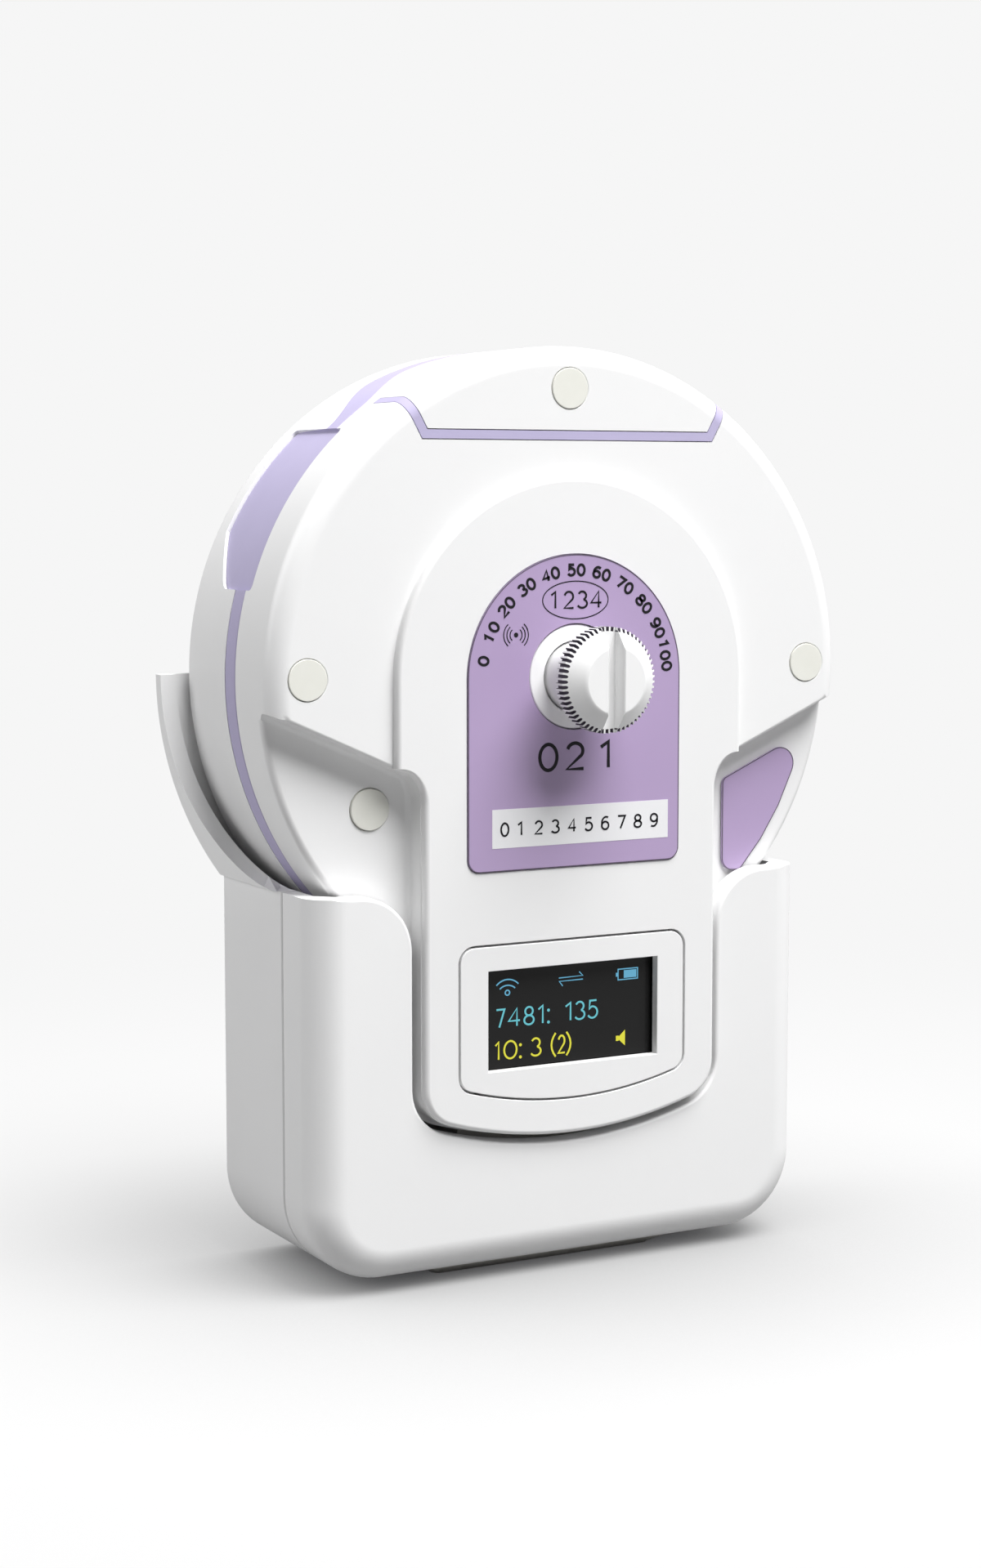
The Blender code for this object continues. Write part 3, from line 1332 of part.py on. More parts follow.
def build_cradle_rear(finish):
    start = SEAM_Y + GAP / 2
    cover = shape(
        "cradle_rear",
        None,
        lambda bm: add_plate(
            bm,
            cradle_outline(),
            [(start, 0)]
            + fillet_stations(REAR_Y, REAR_Y - CRADLE_REAR_FILLET, CRADLE_REAR_FILLET)[::-1],
        ),
        finish,
    )
    crescent = shape(
        "crescent",
        None,
        lambda bm: add_turned(
            bm,
            disc_profile(start, REAR_Y, 0, CRADLE_REAR_FILLET, CRESCENT_RADIUS),
            (0, DISC_HEIGHT),
        ),
    )
    far = CRESCENT_RADIUS + OVERRUN

    def above_disc_centre(bm):
        outline = box_outline(-far, far, DISC_HEIGHT, DISC_HEIGHT + far)
        add_plate(bm, outline, [(FRONT_Y - OVERRUN, 0), (REAR_Y + OVERRUN, 0)])

    def below_cradle_top(bm):
        outline = box_outline(-far, far, DISC_HEIGHT - far, CRADLE_TOP_Z)
        add_plate(bm, outline, [(FRONT_Y - OVERRUN, 0), (REAR_Y + OVERRUN, 0)])

    def above_cradle_top(bm):
        outline = box_outline(-far, far, CRADLE_TOP_Z, DISC_HEIGHT + far)
        add_plate(bm, outline, [(FRONT_Y - OVERRUN, 0), (REAR_Y + OVERRUN, 0)])

    def sweep(bm):
        steps = 2 * CORNER_STEPS
        edge = []
        for i in range(steps + 1):
            z = CRADLE_TOP_Z + (DISC_HEIGHT - CRADLE_TOP_Z) * math.sin(math.pi / 2 * i / steps)
            edge.append((crescent_front_y(z), z))
        high = DISC_HEIGHT + OVERRUN
        outline = [(FRONT_Y - OVERRUN, CRADLE_TOP_Z)] + edge
        outline += [(edge[-1][0], high), (FRONT_Y - OVERRUN, high)]
        add_loft(bm, [[(x, y, z) for y, z in outline] for x in (-far, far)])

    def cavity(bm):
        add_plate(bm, cradle_outline(), [(start - OVERRUN, -CRADLE_WALL), (PLATE_Y, -CRADLE_WALL)])

    def round_cavity(bm):
        radius = CRESCENT_RADIUS - CRESCENT_WALL
        add_rod(bm, radius, start - OVERRUN, PLATE_Y, (0, DISC_HEIGHT), DISC_STEPS)

    def posts(bm):
        for place in cover_screws():
            add_rod(bm, COVER_POST_RADIUS, start, PLATE_Y + BACK_PLATE / 2, place)

    def screw_holes(bm):
        head_radius = SCREW_HEAD_RADIUS + GAP
        shank_radius = SCREW_SHANK_RADIUS + GAP
        seat = REAR_Y - SCREW_HEAD_HEIGHT - 2 * GAP
        profile = [
            (0, start - OVERRUN),
            (shank_radius, start - OVERRUN),
            (shank_radius, seat),
            (head_radius, seat),
            (head_radius, REAR_Y + OVERRUN),
            (0, REAR_Y + OVERRUN),
        ]
        for place in cover_screws():
            add_turned(bm, profile, place, SMALL_STEPS)

    def inlet_hole(bm):
        low, high = inlet_levels()
        outline = box_outline(-INLET_HALF_WIDTH, INLET_HALF_WIDTH, low, high, INLET_HEIGHT / 4)
        add_plate(bm, outline, [(PLATE_Y - OVERRUN, GAP), (REAR_Y + OVERRUN, GAP)])

    boolean(cover, "DIFFERENCE", shape("cradle_rear_cavity", None, cavity))
    boolean(cover, "DIFFERENCE", shape("above_cradle_top", None, above_cradle_top))
    boolean(crescent, "DIFFERENCE", shape("round_pocket", None, round_cavity))
    boolean(crescent, "DIFFERENCE", shape("above_disc_centre", None, above_disc_centre))
    boolean(crescent, "DIFFERENCE", shape("below_cradle_top", None, below_cradle_top))
    boolean(crescent, "DIFFERENCE", shape("crescent_sweep", None, sweep))
    boolean(cover, "UNION", crescent)
    boolean(cover, "UNION", shape("cradle_rear_posts", None, posts))
    boolean(
        cover,
        "DIFFERENCE",
        shape("cover_screw_holes", None, screw_holes),
        shape("inlet_hole", None, inlet_hole),
        shape("foot_seat_rear", None, add_foot_seat),
    )


def foot_outline(growth):
    """The foot's outline, whose corners keep their radius as it narrows."""
    half_width, half_depth = FOOT_HALF_WIDTH + growth, FOOT_HALF_DEPTH + growth
    return box_outline(-half_width, half_width, -half_depth, half_depth, FOOT_CORNER_RADIUS)


def add_foot_seat(bm):
    top = CRADLE_BOTTOM_Z + FOOT_INLET + GAP
    add_column(bm, foot_outline, [(CRADLE_BOTTOM_Z - OVERRUN, GAP), (top, GAP)])


def build_foot(finish):
    levels = [(0, -FOOT_TAPER), (CRADLE_BOTTOM_Z - GAP, 0), (CRADLE_BOTTOM_Z + FOOT_INLET, 0)]
    shape("foot_pad", None, lambda bm: add_column(bm, foot_outline, levels), finish)


def inlet_levels():
    low = CHARGE_BOARD_Z + CHARGE_BOARD_THICKNESS + GAP
    return low, low + INLET_HEIGHT


def build_contacts(block_finish, metal, board_finish):
    arc_radius = NECK_ARC_RADIUS + GAP
    swing = math.asin(BLOCK_HALF_WIDTH / arc_radius)
    top = arc(0, DISC_HEIGHT, arc_radius, -math.pi / 2 + swing, -math.pi / 2 - swing, 2 * CORNER_STEPS)
    outline = [(-BLOCK_HALF_WIDTH, BLOCK_Z), (BLOCK_HALF_WIDTH, BLOCK_Z)] + top
    stations = [(BLOCK_FRONT_Y, 0), (BLOCK_FRONT_Y + BLOCK_DEPTH, 0)]
    block = shape("contact_block", None, lambda bm: add_plate(bm, outline, stations), block_finish)

    def barrel_holes(bm):
        for x, z in charge_pad_places():
            holes = circle(BARREL_RADIUS + GAP, SMALL_STEPS, (x, PIN_Y))
            add_column(bm, holes, [(barrel_base(z) - GAP, 0), (DISC_HEIGHT, 0)])

    boolean(block, "DIFFERENCE", shape("barrel_holes", None, barrel_holes))
    for i, (x, z) in enumerate(charge_pad_places()):
        base = barrel_base(z)
        barrel = shape(
            f"pin_barrel_{i + 1}",
            None,
            lambda bm: add_column(bm, circle(BARREL_RADIUS, SMALL_STEPS), [(0, 0), (BARREL_LENGTH, 0)]),
            metal,
            (x, PIN_Y, base),
        )
        bore = shape(
            f"pin_bore_{i + 1}",
            None,
            lambda bm: add_column(
                bm,
                circle(BARREL_BORE_RADIUS, SMALL_STEPS),
                [(BARREL_FLOOR, 0), (BARREL_LENGTH + OVERRUN, 0)],
            ),
            origin=(x, PIN_Y, base),
        )
        boolean(barrel, "DIFFERENCE", bore)
        tip = DISC_HEIGHT + z - GAP
        joint = empty(f"contact_pin_{i + 1}_slide", None, (x, PIN_Y, tip))
        shape(
            f"contact_pin_{i + 1}",
            joint,
            lambda bm: add_column(
                bm,
                circle(PLUNGER_RADIUS, SMALL_STEPS),
                [(-PLUNGER_LENGTH, 0), (-PLUNGER_TIP, 0), (0, -PLUNGER_TIP)],
            ),
            metal,
        )
    half = CHARGE_BOARD_HALF_WIDTH
    board = box_outline(-half, half, BLOCK_FRONT_Y, BLOCK_FRONT_Y + CHARGE_BOARD_DEPTH)
    levels = [(CHARGE_BOARD_Z, 0), (CHARGE_BOARD_Z + CHARGE_BOARD_THICKNESS, 0)]
    shape("cradle_board", None, lambda bm: add_column(bm, board, levels), board_finish)
    build_inlet(metal)


def barrel_base(pad_z):
    """Height of a pin barrel's lower end under the charging pad it serves."""
    return DISC_HEIGHT + pad_z - GAP - BARREL_SETBACK - BARREL_LENGTH


def build_inlet(metal):
    low, high = inlet_levels()
    corner = INLET_HEIGHT / 4
    outline = box_outline(-INLET_HALF_WIDTH, INLET_HALF_WIDTH, low, high, corner)
    end = REAR_Y - GAP
    inlet = shape(
        "power_inlet",
        None,
        lambda bm: add_plate(bm, outline, [(end - INLET_DEPTH, 0), (end, 0)]),
        metal,
    )
    mouth = shape(
        "inlet_mouth",
        None,
        lambda bm: add_plate(
            bm, outline, [(end - INLET_DEPTH + OVERRUN, -INLET_WALL), (end + OVERRUN, -INLET_WALL)]
        ),
    )
    boolean(inlet, "DIFFERENCE", mouth)


def build_cover_screws(steel):
    seat = REAR_Y - SCREW_HEAD_HEIGHT - GAP
    for i, place in enumerate(cover_screws()):
        build_screw(f"cover_screw_{i + 1}", None, steel, place, seat, seat - COVER_SCREW_LENGTH, -1)


def empty(name, parent, place):
    made = bpy.data.objects.new(name, None)
    made.empty_display_size = OVERRUN * 6
    bpy.context.scene.collection.objects.link(made)
    made.parent = parent
    made.location = place
    return made


def main():
    for obj in list(bpy.data.objects):
        bpy.data.objects.remove(obj)
    white = material("moulded_white", (0.86, 0.86, 0.86), 0.42)
    purple = material("printed_purple", (0.47, 0.36, 0.58), 0.45)
    soft_purple = material("soft_purple", (0.50, 0.47, 0.65), 0.6)
    plug_finish = material("plug_rubber", (0.80, 0.80, 0.74), 0.7)
    grey = material("foot_rubber", (0.38, 0.38, 0.36), 0.8)
    glass = material("display_glass", (0.02, 0.02, 0.02), 0.15)
    acoustic = material("acoustic_membrane", (0.72, 0.73, 0.74), 0.35)
    board_finish = material("circuit_board", (0.02, 0.16, 0.07), 0.5)
    cell_finish = material("cell_foil", (0.6, 0.6, 0.62), 0.3)
    ceramic = material("piezo_ceramic", (0.62, 0.55, 0.42), 0.6)
    carrier_finish = material("backing_resin", (0.05, 0.05, 0.06), 0.7)
    steel = material("screw_steel", (0.6, 0.6, 0.6), 0.3, 1.0)
    brass = material("gold_brass", (0.8, 0.6, 0.25), 0.3, 1.0)

    body = empty("transducer_lift", None, (0, 0, DISC_HEIGHT))
    slide = empty("belt_knob_slide", body, (0, RING_Y, 0))
    turn = empty("belt_knob_turn", slide, (0, 0, 0))
    build_front_shell(body, white)
    build_rear_shell(body, white)
    build_rim_band(body, soft_purple)
    build_inlay(body, soft_purple)
    build_acoustic_face(body, acoustic)
    build_labels(body, purple)
    build_display(body, white, glass)
    build_screws_and_plugs(body, steel, plug_finish)
    build_inner_pieces(body, board_finish, cell_finish, ceramic, carrier_finish, brass)
    build_knob(slide, turn, white, white)
    build_cradle_front(white)
    build_cradle_rear(white)
    build_foot(grey)
    build_contacts(grey, brass, board_finish)
    build_cover_screws(steel)


main()
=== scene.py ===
"""The look of a wireless fetal heart transducer that stands in its charging cradle.

Each visible moulding is built again here with finer facets and softer edges than its solid. A few
sizes follow the photograph closer than the solids do. Sizes are in metres, and the printing's in
millimetres. Pieces of the transducer are drawn about the centre of its disc.
"""

import math

import bmesh
import bpy
from mathutils import Matrix, Vector

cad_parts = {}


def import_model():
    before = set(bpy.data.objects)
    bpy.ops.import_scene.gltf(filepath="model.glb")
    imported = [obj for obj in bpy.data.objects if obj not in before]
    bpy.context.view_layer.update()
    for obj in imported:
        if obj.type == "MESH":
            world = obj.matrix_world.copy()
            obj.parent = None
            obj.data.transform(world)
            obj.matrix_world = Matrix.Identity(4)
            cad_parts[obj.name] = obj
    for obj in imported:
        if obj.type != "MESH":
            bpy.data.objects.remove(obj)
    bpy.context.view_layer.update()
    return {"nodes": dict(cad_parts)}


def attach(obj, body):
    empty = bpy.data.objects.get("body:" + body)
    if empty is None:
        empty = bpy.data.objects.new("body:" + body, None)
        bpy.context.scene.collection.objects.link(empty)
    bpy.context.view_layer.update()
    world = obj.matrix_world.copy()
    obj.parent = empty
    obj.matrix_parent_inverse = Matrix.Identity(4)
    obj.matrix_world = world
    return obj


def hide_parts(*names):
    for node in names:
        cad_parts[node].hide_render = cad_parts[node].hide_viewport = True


MM = 0.001

# Camera, fitted to the photograph's circles and straight edges
CAMERA_PLACE = (-172.226 * MM, -312.593 * MM, 99.765 * MM)
CAMERA_YAW = math.radians(28.315)
CAMERA_PITCH = math.radians(6.054)
CAMERA_LENS = 62.55
CAMERA_SENSOR = 36.0

# Disc of the transducer
DISC_Z = 77.0 * MM
DISC_R = 41.35 * MM
FRONT_Y = -14.3 * MM
REAR_Y = 12.7 * MM
FRONT_FILLET = 2.6 * MM
REAR_FILLET = 1.6 * MM
RIM_WALL = 3.4 * MM
WALL = 2.0 * MM
RECESS_Y = -10.9 * MM
RECESS_FILLET = 0.9 * MM
RECESS_FOOT = 0.7 * MM
RECESS_ROLL = 0.5 * MM
RECESS_CORNER = (12.0 * MM, -16.43 * MM)
RECESS_TILT = math.radians(24.0)
ACOUSTIC_Y = 10.5 * MM
ACOUSTIC_R = 38.85 * MM
CAVITY_R = DISC_R - RIM_WALL
SEAM_Y = -1.95 * MM
SEAM_GAP = 0.3 * MM

# Neck of the transducer
NECK_Y = -15.5 * MM
NECK_REAR_Y = 1.0 * MM
NECK_EDGE = 0.6 * MM
NECK_FOOT = 0.25 * MM
NECK_REAR_EDGE = 1.5 * MM
NECK_HALF = 21.2 * MM
NECK_ARC_R = 58.64 * MM
NECK_CORNER_R = 5.0 * MM
ARCH_R = 25.0 * MM
SHOULDER_TOP = -10.6 * MM
SHOULDER_DROP = 4.8 * MM

# Rim band
BAND_Y = -3.5 * MM
BAND_WIDTH = 3.1 * MM
BAND_THICK = 2.0 * MM
BAND_BEVEL = 0.15 * MM
BAND_TOP_SHIFT = 5.8 * MM
BAND_TOP_WIDTH = 3.6 * MM
BAND_END = math.radians(147.0)
BAND_FRONT_TURN = (math.radians(20.0), math.radians(36.0))
BAND_REAR_TURN = (math.radians(26.0), math.radians(41.0))
PAD_ANGLES = (math.radians(41.4), math.radians(63.8), math.radians(74.4))
PAD_CORNER = math.radians(1.3)
PAD_FORWARD = 1.6 * MM
PAD_REARWARD = 9.0 * MM
PAD_FOOT_REARWARD = 3.8 * MM
PAD_CHAMFER = 0.8 * MM
PAD_SINK = 0.4 * MM

# Inlay round the top cap
INLAY_HALF = 20.9 * MM
INLAY_Z = 29.65 * MM
INLAY_LINE = 1.1 * MM
INLAY_LEAN = math.radians(29.0)
INLAY_THICK = 1.0 * MM
INLAY_REACH = 8.6 * MM

# Screw plugs
PLUG_THICK = 1.2 * MM
PLUG_EDGE = 0.1 * MM
PLUG_GAP = 0.08 * MM
PLUGS = {
    "top": (-0.2 * MM, 36.05 * MM, FRONT_Y, 2.55 * MM),
    "left": (-36.45 * MM, 0.6 * MM, FRONT_Y, 2.55 * MM),
    "right": (36.0 * MM, 0.7 * MM, FRONT_Y, 2.5 * MM),
    "lower_left": (-26.7 * MM, -15.9 * MM, RECESS_Y, 2.6 * MM),
}
PLUG_PROUD = {FRONT_Y: 0.1 * MM, RECESS_Y: 0.3 * MM}
SCREWS = (
    (0.0, 36.0 * MM, FRONT_Y),
    (-36.3 * MM, 0.0, FRONT_Y),
    (36.3 * MM, 0.0, FRONT_Y),
    (-26.0 * MM, -16.1 * MM, RECESS_Y),
    (30.5 * MM, -18.5 * MM, RECESS_Y),
)

# Posts and seats inside the shells
POST_R = 4.0 * MM
REAR_POST_R = 2.6 * MM
CASE_SCREW_R = 2.1 * MM
CASE_SHANK_R = 0.9 * MM
CASE_SEAT = 3.3 * MM
PILOT_R = 1.1 * MM
SCREW_BITE = 4.5 * MM
CARRIER_R = 31.5 * MM
CARRIER_Y = 6.3 * MM
BOSS_R = 5.6 * MM
INSERT_R = 3.4 * MM
INSERT_LENGTH = 6.0 * MM
CHARGE_PAD_R = 1.6 * MM
CHARGE_PAD_THICK = 1.0 * MM
CHARGE_PAD_X = (-9.0 * MM, -3.0 * MM, 3.0 * MM, 9.0 * MM)
CHARGE_PAD_Y = -6.2 * MM

# Labels and display
LABEL_HALF = 15.37 * MM
LABEL_LOW = -24.1 * MM
LABEL_CORNER = 1.6 * MM
LABEL_THICK = 0.25 * MM
LABEL_HOLE_R = 6.75 * MM
FIELD = (-12.0 * MM, 13.75 * MM, -21.2 * MM, -16.3 * MM)
SIDE_LABEL_X = 24.95 * MM
SIDE_LABEL_INSET = 3.6 * MM
SIDE_LABEL_R = 38.65 * MM
SIDE_LABEL_LOW = -26.85 * MM
SIDE_LABEL_CORNERS = (1.7 * MM, 0.8 * MM, 2.2 * MM, 1.0 * MM)
SIDE_LABEL_THICK = 0.3 * MM
# Width of the thin grey line of painted shade along the labels' edges, which stands in for the dark
# gap round each film
EDGE_SHADE_WIDTH = 0.11 * MM
BEZEL_HALF = 16.37 * MM
BEZEL_TOP = -33.6 * MM
BEZEL_ARC_R = 53.9 * MM
BEZEL_CORNER = 2.0 * MM
BEZEL_THICK = 1.2 * MM
BEZEL_EDGE = 0.1 * MM
BEZEL_GROOVE = 0.3 * MM
WINDOW = (-12.44 * MM, 12.44 * MM, -49.6 * MM, -36.7 * MM)
GLASS_HALF = 13.35 * MM
GLASS_TOP = -35.5 * MM
GLASS_HEIGHT = 16.8 * MM
GLASS_THICK = 1.45 * MM
ACTIVE_HALF = 12.01 * MM

# Acoustic face: its rolled rim, and the groove's slope, floor and width inside the rim
ACOUSTIC_ROLL = 0.6 * MM
ACOUSTIC_RIM = 2.2 * MM
ACOUSTIC_GROOVE = (0.2 * MM, 0.6 * MM, 0.8 * MM)
ACOUSTIC_GROOVE_DEPTH = 0.25 * MM
ACOUSTIC_DOME = 0.05 * MM

# Numbers on the labels and the display, in millimetres. A line is its foot, height and stroke, and
# a mark is its digit, left end and width.
SCALE_LINE = (12.75, 1.32, 0.34)
SCALE_PITCH = 1.4
SCALE_WIDTH = 0.98
SCALE_START = math.radians(80)
SCALE_STEP = math.radians(16)
SCALE_STEPS = 10
OVAL_LINE = (8.65, 2.05, 0.27)
OVAL_MARKS = (("1", -3.6, 1.3), ("2", -1.75, 1.35), ("3", 0.25, 1.35), ("4", 2.15, 1.5))
LARGE_LINE = (-11.7, 3.28, 0.45)
LARGE_MARKS = (("0", -5.21, 2.48), ("2", -1.31, 2.45), ("1", 3.7, 2.44))
FIELD_LINE = (-19.65, 1.6, 0.24)
FIELD_MARKS = tuple((str(i), -10.75 + 2.43 * i, 1.05) for i in range(10))
RATE_LINE = (-44.27, 2.27, 0.24)
RATE_MARKS = (("7", -10.51, 1.15), ("4", -8.76, 1.62), ("8", -6.5, 1.39), ("1", -4.43, 1.4))
RATE_MARKS += (("1", -0.43, 1.6), ("3", 1.02, 1.38), ("5", 2.9, 1.4))
RATE_COLON = ((-2.96, -42.68), (-2.96, -44.22))
CHANNEL_LINE = (-48.4, 2.25, 0.24)
CHANNEL_MARKS = (("1", -10.65, 1.0), ("0", -9.4, 1.8), ("3", -5.46, 1.4))
CHANNEL_MARKS += (("(", -2.52, 0.62), ("2", -1.5, 0.95), (")", -0.31, 0.62))
CHANNEL_COLON = ((-7.05, -46.78), (-7.05, -48.35))
COLON_DOT = (0.2, 16)

# Signs on the labels and the display, in millimetres. A bow is its centre, its reach in x and z, its
# ends in degrees and its steps, and an area of the cell or the magnet is its ends in x and in z.
FINE_STROKE = 0.13
OVAL = (-0.1, 9.65, 4.75, 2.37, 0, 360, 64)
WAVE_CENTRE = (-8.63, 5.45)
WAVES = tuple(
    (*WAVE_CENTRE, reach, reach, start, start + 100, 14)
    for reach in (0.85, 1.3, 1.75)
    for start in (-50, 130)
)
WAVE_DOT = (0.3, 20, WAVE_CENTRE)
SIGNAL_BOWS = (
    (-8.94, -40.4, 2.2, 2.2, 136, 44, 12),
    (-8.94, -40.6, 1.65, 1.65, 132, 48, 12),
    (-8.94, -39.9, 0.32, 0.32, 0, 360, 16),
)
SIGNAL_STROKE = 0.17
LINK_ARROWS = (
    ((-1.44, -38.66), (2.1, -38.6), (1.55, -38.07)),
    ((2.1, -39.08), (-1.38, -39.1), (-0.88, -39.73)),
)
ICON_STROKE = 0.14
CELL = (7.37, 10.31, -39.65, -38.26)
CELL_CHARGE = (8.24, 10.12, -39.46, -38.45)
CELL_END = (7.04, 7.3, -39.2, -38.7)
SPEAKER_CONE = ((7.3, -47.3), (8.45, -48.35), (8.45, -46.29))
SPEAKER_MAGNET = (7.09, 7.5, -47.65, -46.98)

# Belt knob
STEM_R = 4.3 * MM
STEM_LENGTH = 6.2 * MM
STEM_CHAMFER = 0.2 * MM
SPIGOT_R = 2.2 * MM
SPIGOT_LENGTH = 0.6 * MM
THREAD_R = 2.4 * MM
THREAD_DEPTH = 0.22 * MM
THREAD_START = 0.5 * MM
THREAD_FLANK = 0.25 * MM
THREAD_FLANKS = 24
KNOB_R = 6.62 * MM
KNOB_UNDER_R = 6.2 * MM
KNOB_UNDERCUT = 0.3 * MM
KNURL_WIDTH = 1.75 * MM
TOOTH_DEPTH = 0.55 * MM
TOOTH_GAP = 0.43 * MM
TEETH = 60
TOOTH_END_STEPS = 6
KNOB_FACE_R = 4.2 * MM
KNOB_CONE = 1.95 * MM
KNOB_FACE_ROLL = 0.35 * MM
KNOB_ROLL_INWARD = 0.6
KNOB_BORE_R = 2.5 * MM
KNOB_BORE_DEPTH = 0.9 * MM
SLOT_WIDTH = 2.2 * MM
SLOT_DEPTH = 2.35 * MM
SLOT_CHAMFER = 0.15 * MM
RING_R = 6.6 * MM
RING_THICK = 0.8 * MM
RING_ROLL = 0.25 * MM

# Cradle
CRADLE_FRONT_Y = -14.3 * MM
CRADLE_REAR_Y = 14.3 * MM
CRADLE_SEAM_Y = -4.8 * MM
CRADLE_HALF = 35.9 * MM
CRADLE_TOP = 50.6 * MM
CRADLE_LOW = 1.6 * MM
CRADLE_FILLET = 4.4 * MM
CRADLE_REAR_EDGE = 0.8 * MM
CRADLE_CORNER = 10.3 * MM
CRADLE_WALL = 2.2 * MM
CRADLE_FRONT_WALL = 2.8 * MM
CAVITY_BEVEL = 2.0 * MM
COVER_CHAMFER = 0.15 * MM
PLATE_Y = 13.0 * MM
CRESCENT_R = 45.0 * MM
CRESCENT_WALL = 2.1 * MM
CRESCENT_TIP = 2.3 * MM
CRESCENT_POWER = 2.5
SLOT_GAP = 1.2 * MM
SLOT_MOUTH = 7.2 * MM
SLOT_EDGE = 0.45 * MM
FOOT_HALF = (17.9 * MM, 9.5 * MM)
FOOT_TAPER = 1.6 * MM
FOOT_CORNER = 1.0 * MM
FOOT_INLET = 0.7 * MM
FOOT_TREAD_EDGE = 0.15 * MM
FOOT_TOP_CLEAR = 0.4 * MM
COVER_SCREWS = (
    (-28.5 * MM, 9.5 * MM),
    (28.5 * MM, 9.5 * MM),
    (-30.0 * MM, 39.5 * MM),
    (30.0 * MM, 39.5 * MM),
)
SCREW_R = 2.1 * MM
SCREW_HEAD = 1.2 * MM
SCREW_LENGTH = 20.0 * MM
SCREW_SHANK_R = 0.9 * MM
SCREW_EDGE = 0.3 * MM
SCREW_HOLE_CHAMFER = 0.2 * MM
SOCKET_R = 1.1 * MM
SOCKET_MOUTH_R = 1.25 * MM
SOCKET_SINK = 0.1 * MM
SOCKET_DEPTH = 0.7 * MM
COVER_POST_R = 2.8 * MM
COVER_POST_BITE = 0.6 * MM
INLET_HALF = 4.6 * MM
INLET_LOW = 6.0 * MM
INLET_HEIGHT = 3.4 * MM
INLET_CHAMFER = 0.3 * MM
INLET_FLARE = 0.6 * MM

GAP = 0.3 * MM
TRIM_GAP = 0.12 * MM
OVERRUN = 1.0 * MM
INK = 0.03 * MM

# Facets of a circle, a small circle, a corner, a fillet, a small fillet and a large fillet
ROUND = 216
SMALL_ROUND = 72
CORNER = 10
FILLET = 7
SMALL_FILLET = 4
LARGE_FILLET = 12
SHARP = math.radians(28.0)
FLAT = math.radians(0.05)
MITRE_LIMIT = 0.3

# Stage: the lamps' places, sizes and powers, and the floor with its reach of contact shade
KEY_LAMP = ((0.22, -0.48, 1.02), 0.8, 23.5)
LEFT_LAMP = ((-0.45, 0.18, 0.28), 0.3, 1.1)
LAMP_TARGET = (0, 0, 0.06)
FLOOR_R = 6.0
SHADE_REACH = 0.06
SHADE_FADE = (0.05, 0.3)
SHADE_SHARE = 0.78


# Outlines


def arc(centre_x, centre_z, radius, start, end, steps):
    angles = [start + (end - start) * i / steps for i in range(steps + 1)]
    return [(centre_x + radius * math.cos(a), centre_z + radius * math.sin(a)) for a in angles]


def circle(radius, steps=SMALL_ROUND, centre=(0, 0)):
    return arc(*centre, radius, 0, 2 * math.pi, steps)[:-1]


def grown(outline, distance):
    """The anticlockwise outline with each side moved outward."""
    if distance == 0:
        return list(outline)
    moved = []
    for i, point in enumerate(outline):
        nx = nz = 0
        for a, b in ((outline[i - 1], point), (point, outline[(i + 1) % len(outline)])):
            length = math.hypot(b[0] - a[0], b[1] - a[1])
            nx += (b[1] - a[1]) / length
            nz += (a[0] - b[0]) / length
        reach = distance * 2 / (nx * nx + nz * nz)
        moved.append((point[0] + nx * reach, point[1] + nz * reach))
    return moved


def rounded(corners, steps=CORNER):
    """An outline from corners (x, z, radius), anticlockwise."""
    outline = []
    for i, (x, z, radius) in enumerate(corners):
        if radius == 0:
            outline.append((x, z))
            continue
        before, after = corners[i - 1], corners[(i + 1) % len(corners)]
        back = math.atan2(before[1] - z, before[0] - x)
        ahead = math.atan2(after[1] - z, after[0] - x)
        half = math.remainder(ahead - back, 2 * math.pi) / 2
        reach = radius / abs(math.sin(half))
        centre = (x + reach * math.cos(back + half), z + reach * math.sin(back + half))
        spread = math.copysign(math.pi / 2 - abs(half), half)
        toward = back + half + math.pi
        outline += arc(*centre, radius, toward + spread, toward - spread, steps)
    return outline


def rectangle(x_low, x_high, z_low, z_high, corner=0.0):
    sides = ((x_low, z_low), (x_high, z_low), (x_high, z_high), (x_low, z_high))
    return rounded([(x, z, corner) for x, z in sides])


def smooth_share(value, start, end):
    share = min(max((value - start) / (end - start), 0), 1)
    return share * share * (3 - 2 * share)


def bottom_arc(radius, half_width, corner):
    """The neck's lower end from left to right: two corners joined by a shallow arc."""
    inner = radius - corner
    swing = math.asin((half_width - corner) / inner)
    left, right = -math.pi / 2 - swing, -math.pi / 2 + swing
    cx, cz = inner * math.cos(right), inner * math.sin(right)
    points = arc(-cx, cz, corner, -math.pi, left, CORNER)
    points += arc(0, 0, radius, left, right, 3 * CORNER)[1:-1]
    return points + arc(cx, cz, corner, right, 0, CORNER)


def neck_outline(growth=0.0):
    right_side = []
    for i in range(2 * CORNER + 1):
        turn = math.pi / 2 * i / (2 * CORNER)
        x = NECK_HALF + (ARCH_R - NECK_HALF) * (1 - math.cos(turn)) + growth
        right_side.append((x, SHOULDER_TOP - SHOULDER_DROP * (1 - math.sin(turn))))
    left_side = [(-x, z) for x, z in reversed(right_side)]
    arch = arc(0, 0, ARCH_R + growth, 0, math.pi, ROUND // 2)
    lower = bottom_arc(NECK_ARC_R + growth, NECK_HALF + growth, NECK_CORNER_R + growth)
    return lower + right_side + arch + left_side


def above_recess_outline(growth=0.0):
    far_x = DISC_R + 3 * OVERRUN
    x, z = RECESS_CORNER
    far_z = z + (far_x - x) * math.tan(RECESS_TILT)
    corners = [(-x, z), (x, z), (far_x, far_z), (far_x, far_x), (-far_x, far_x), (-far_x, far_z)]
    return grown(corners, growth)


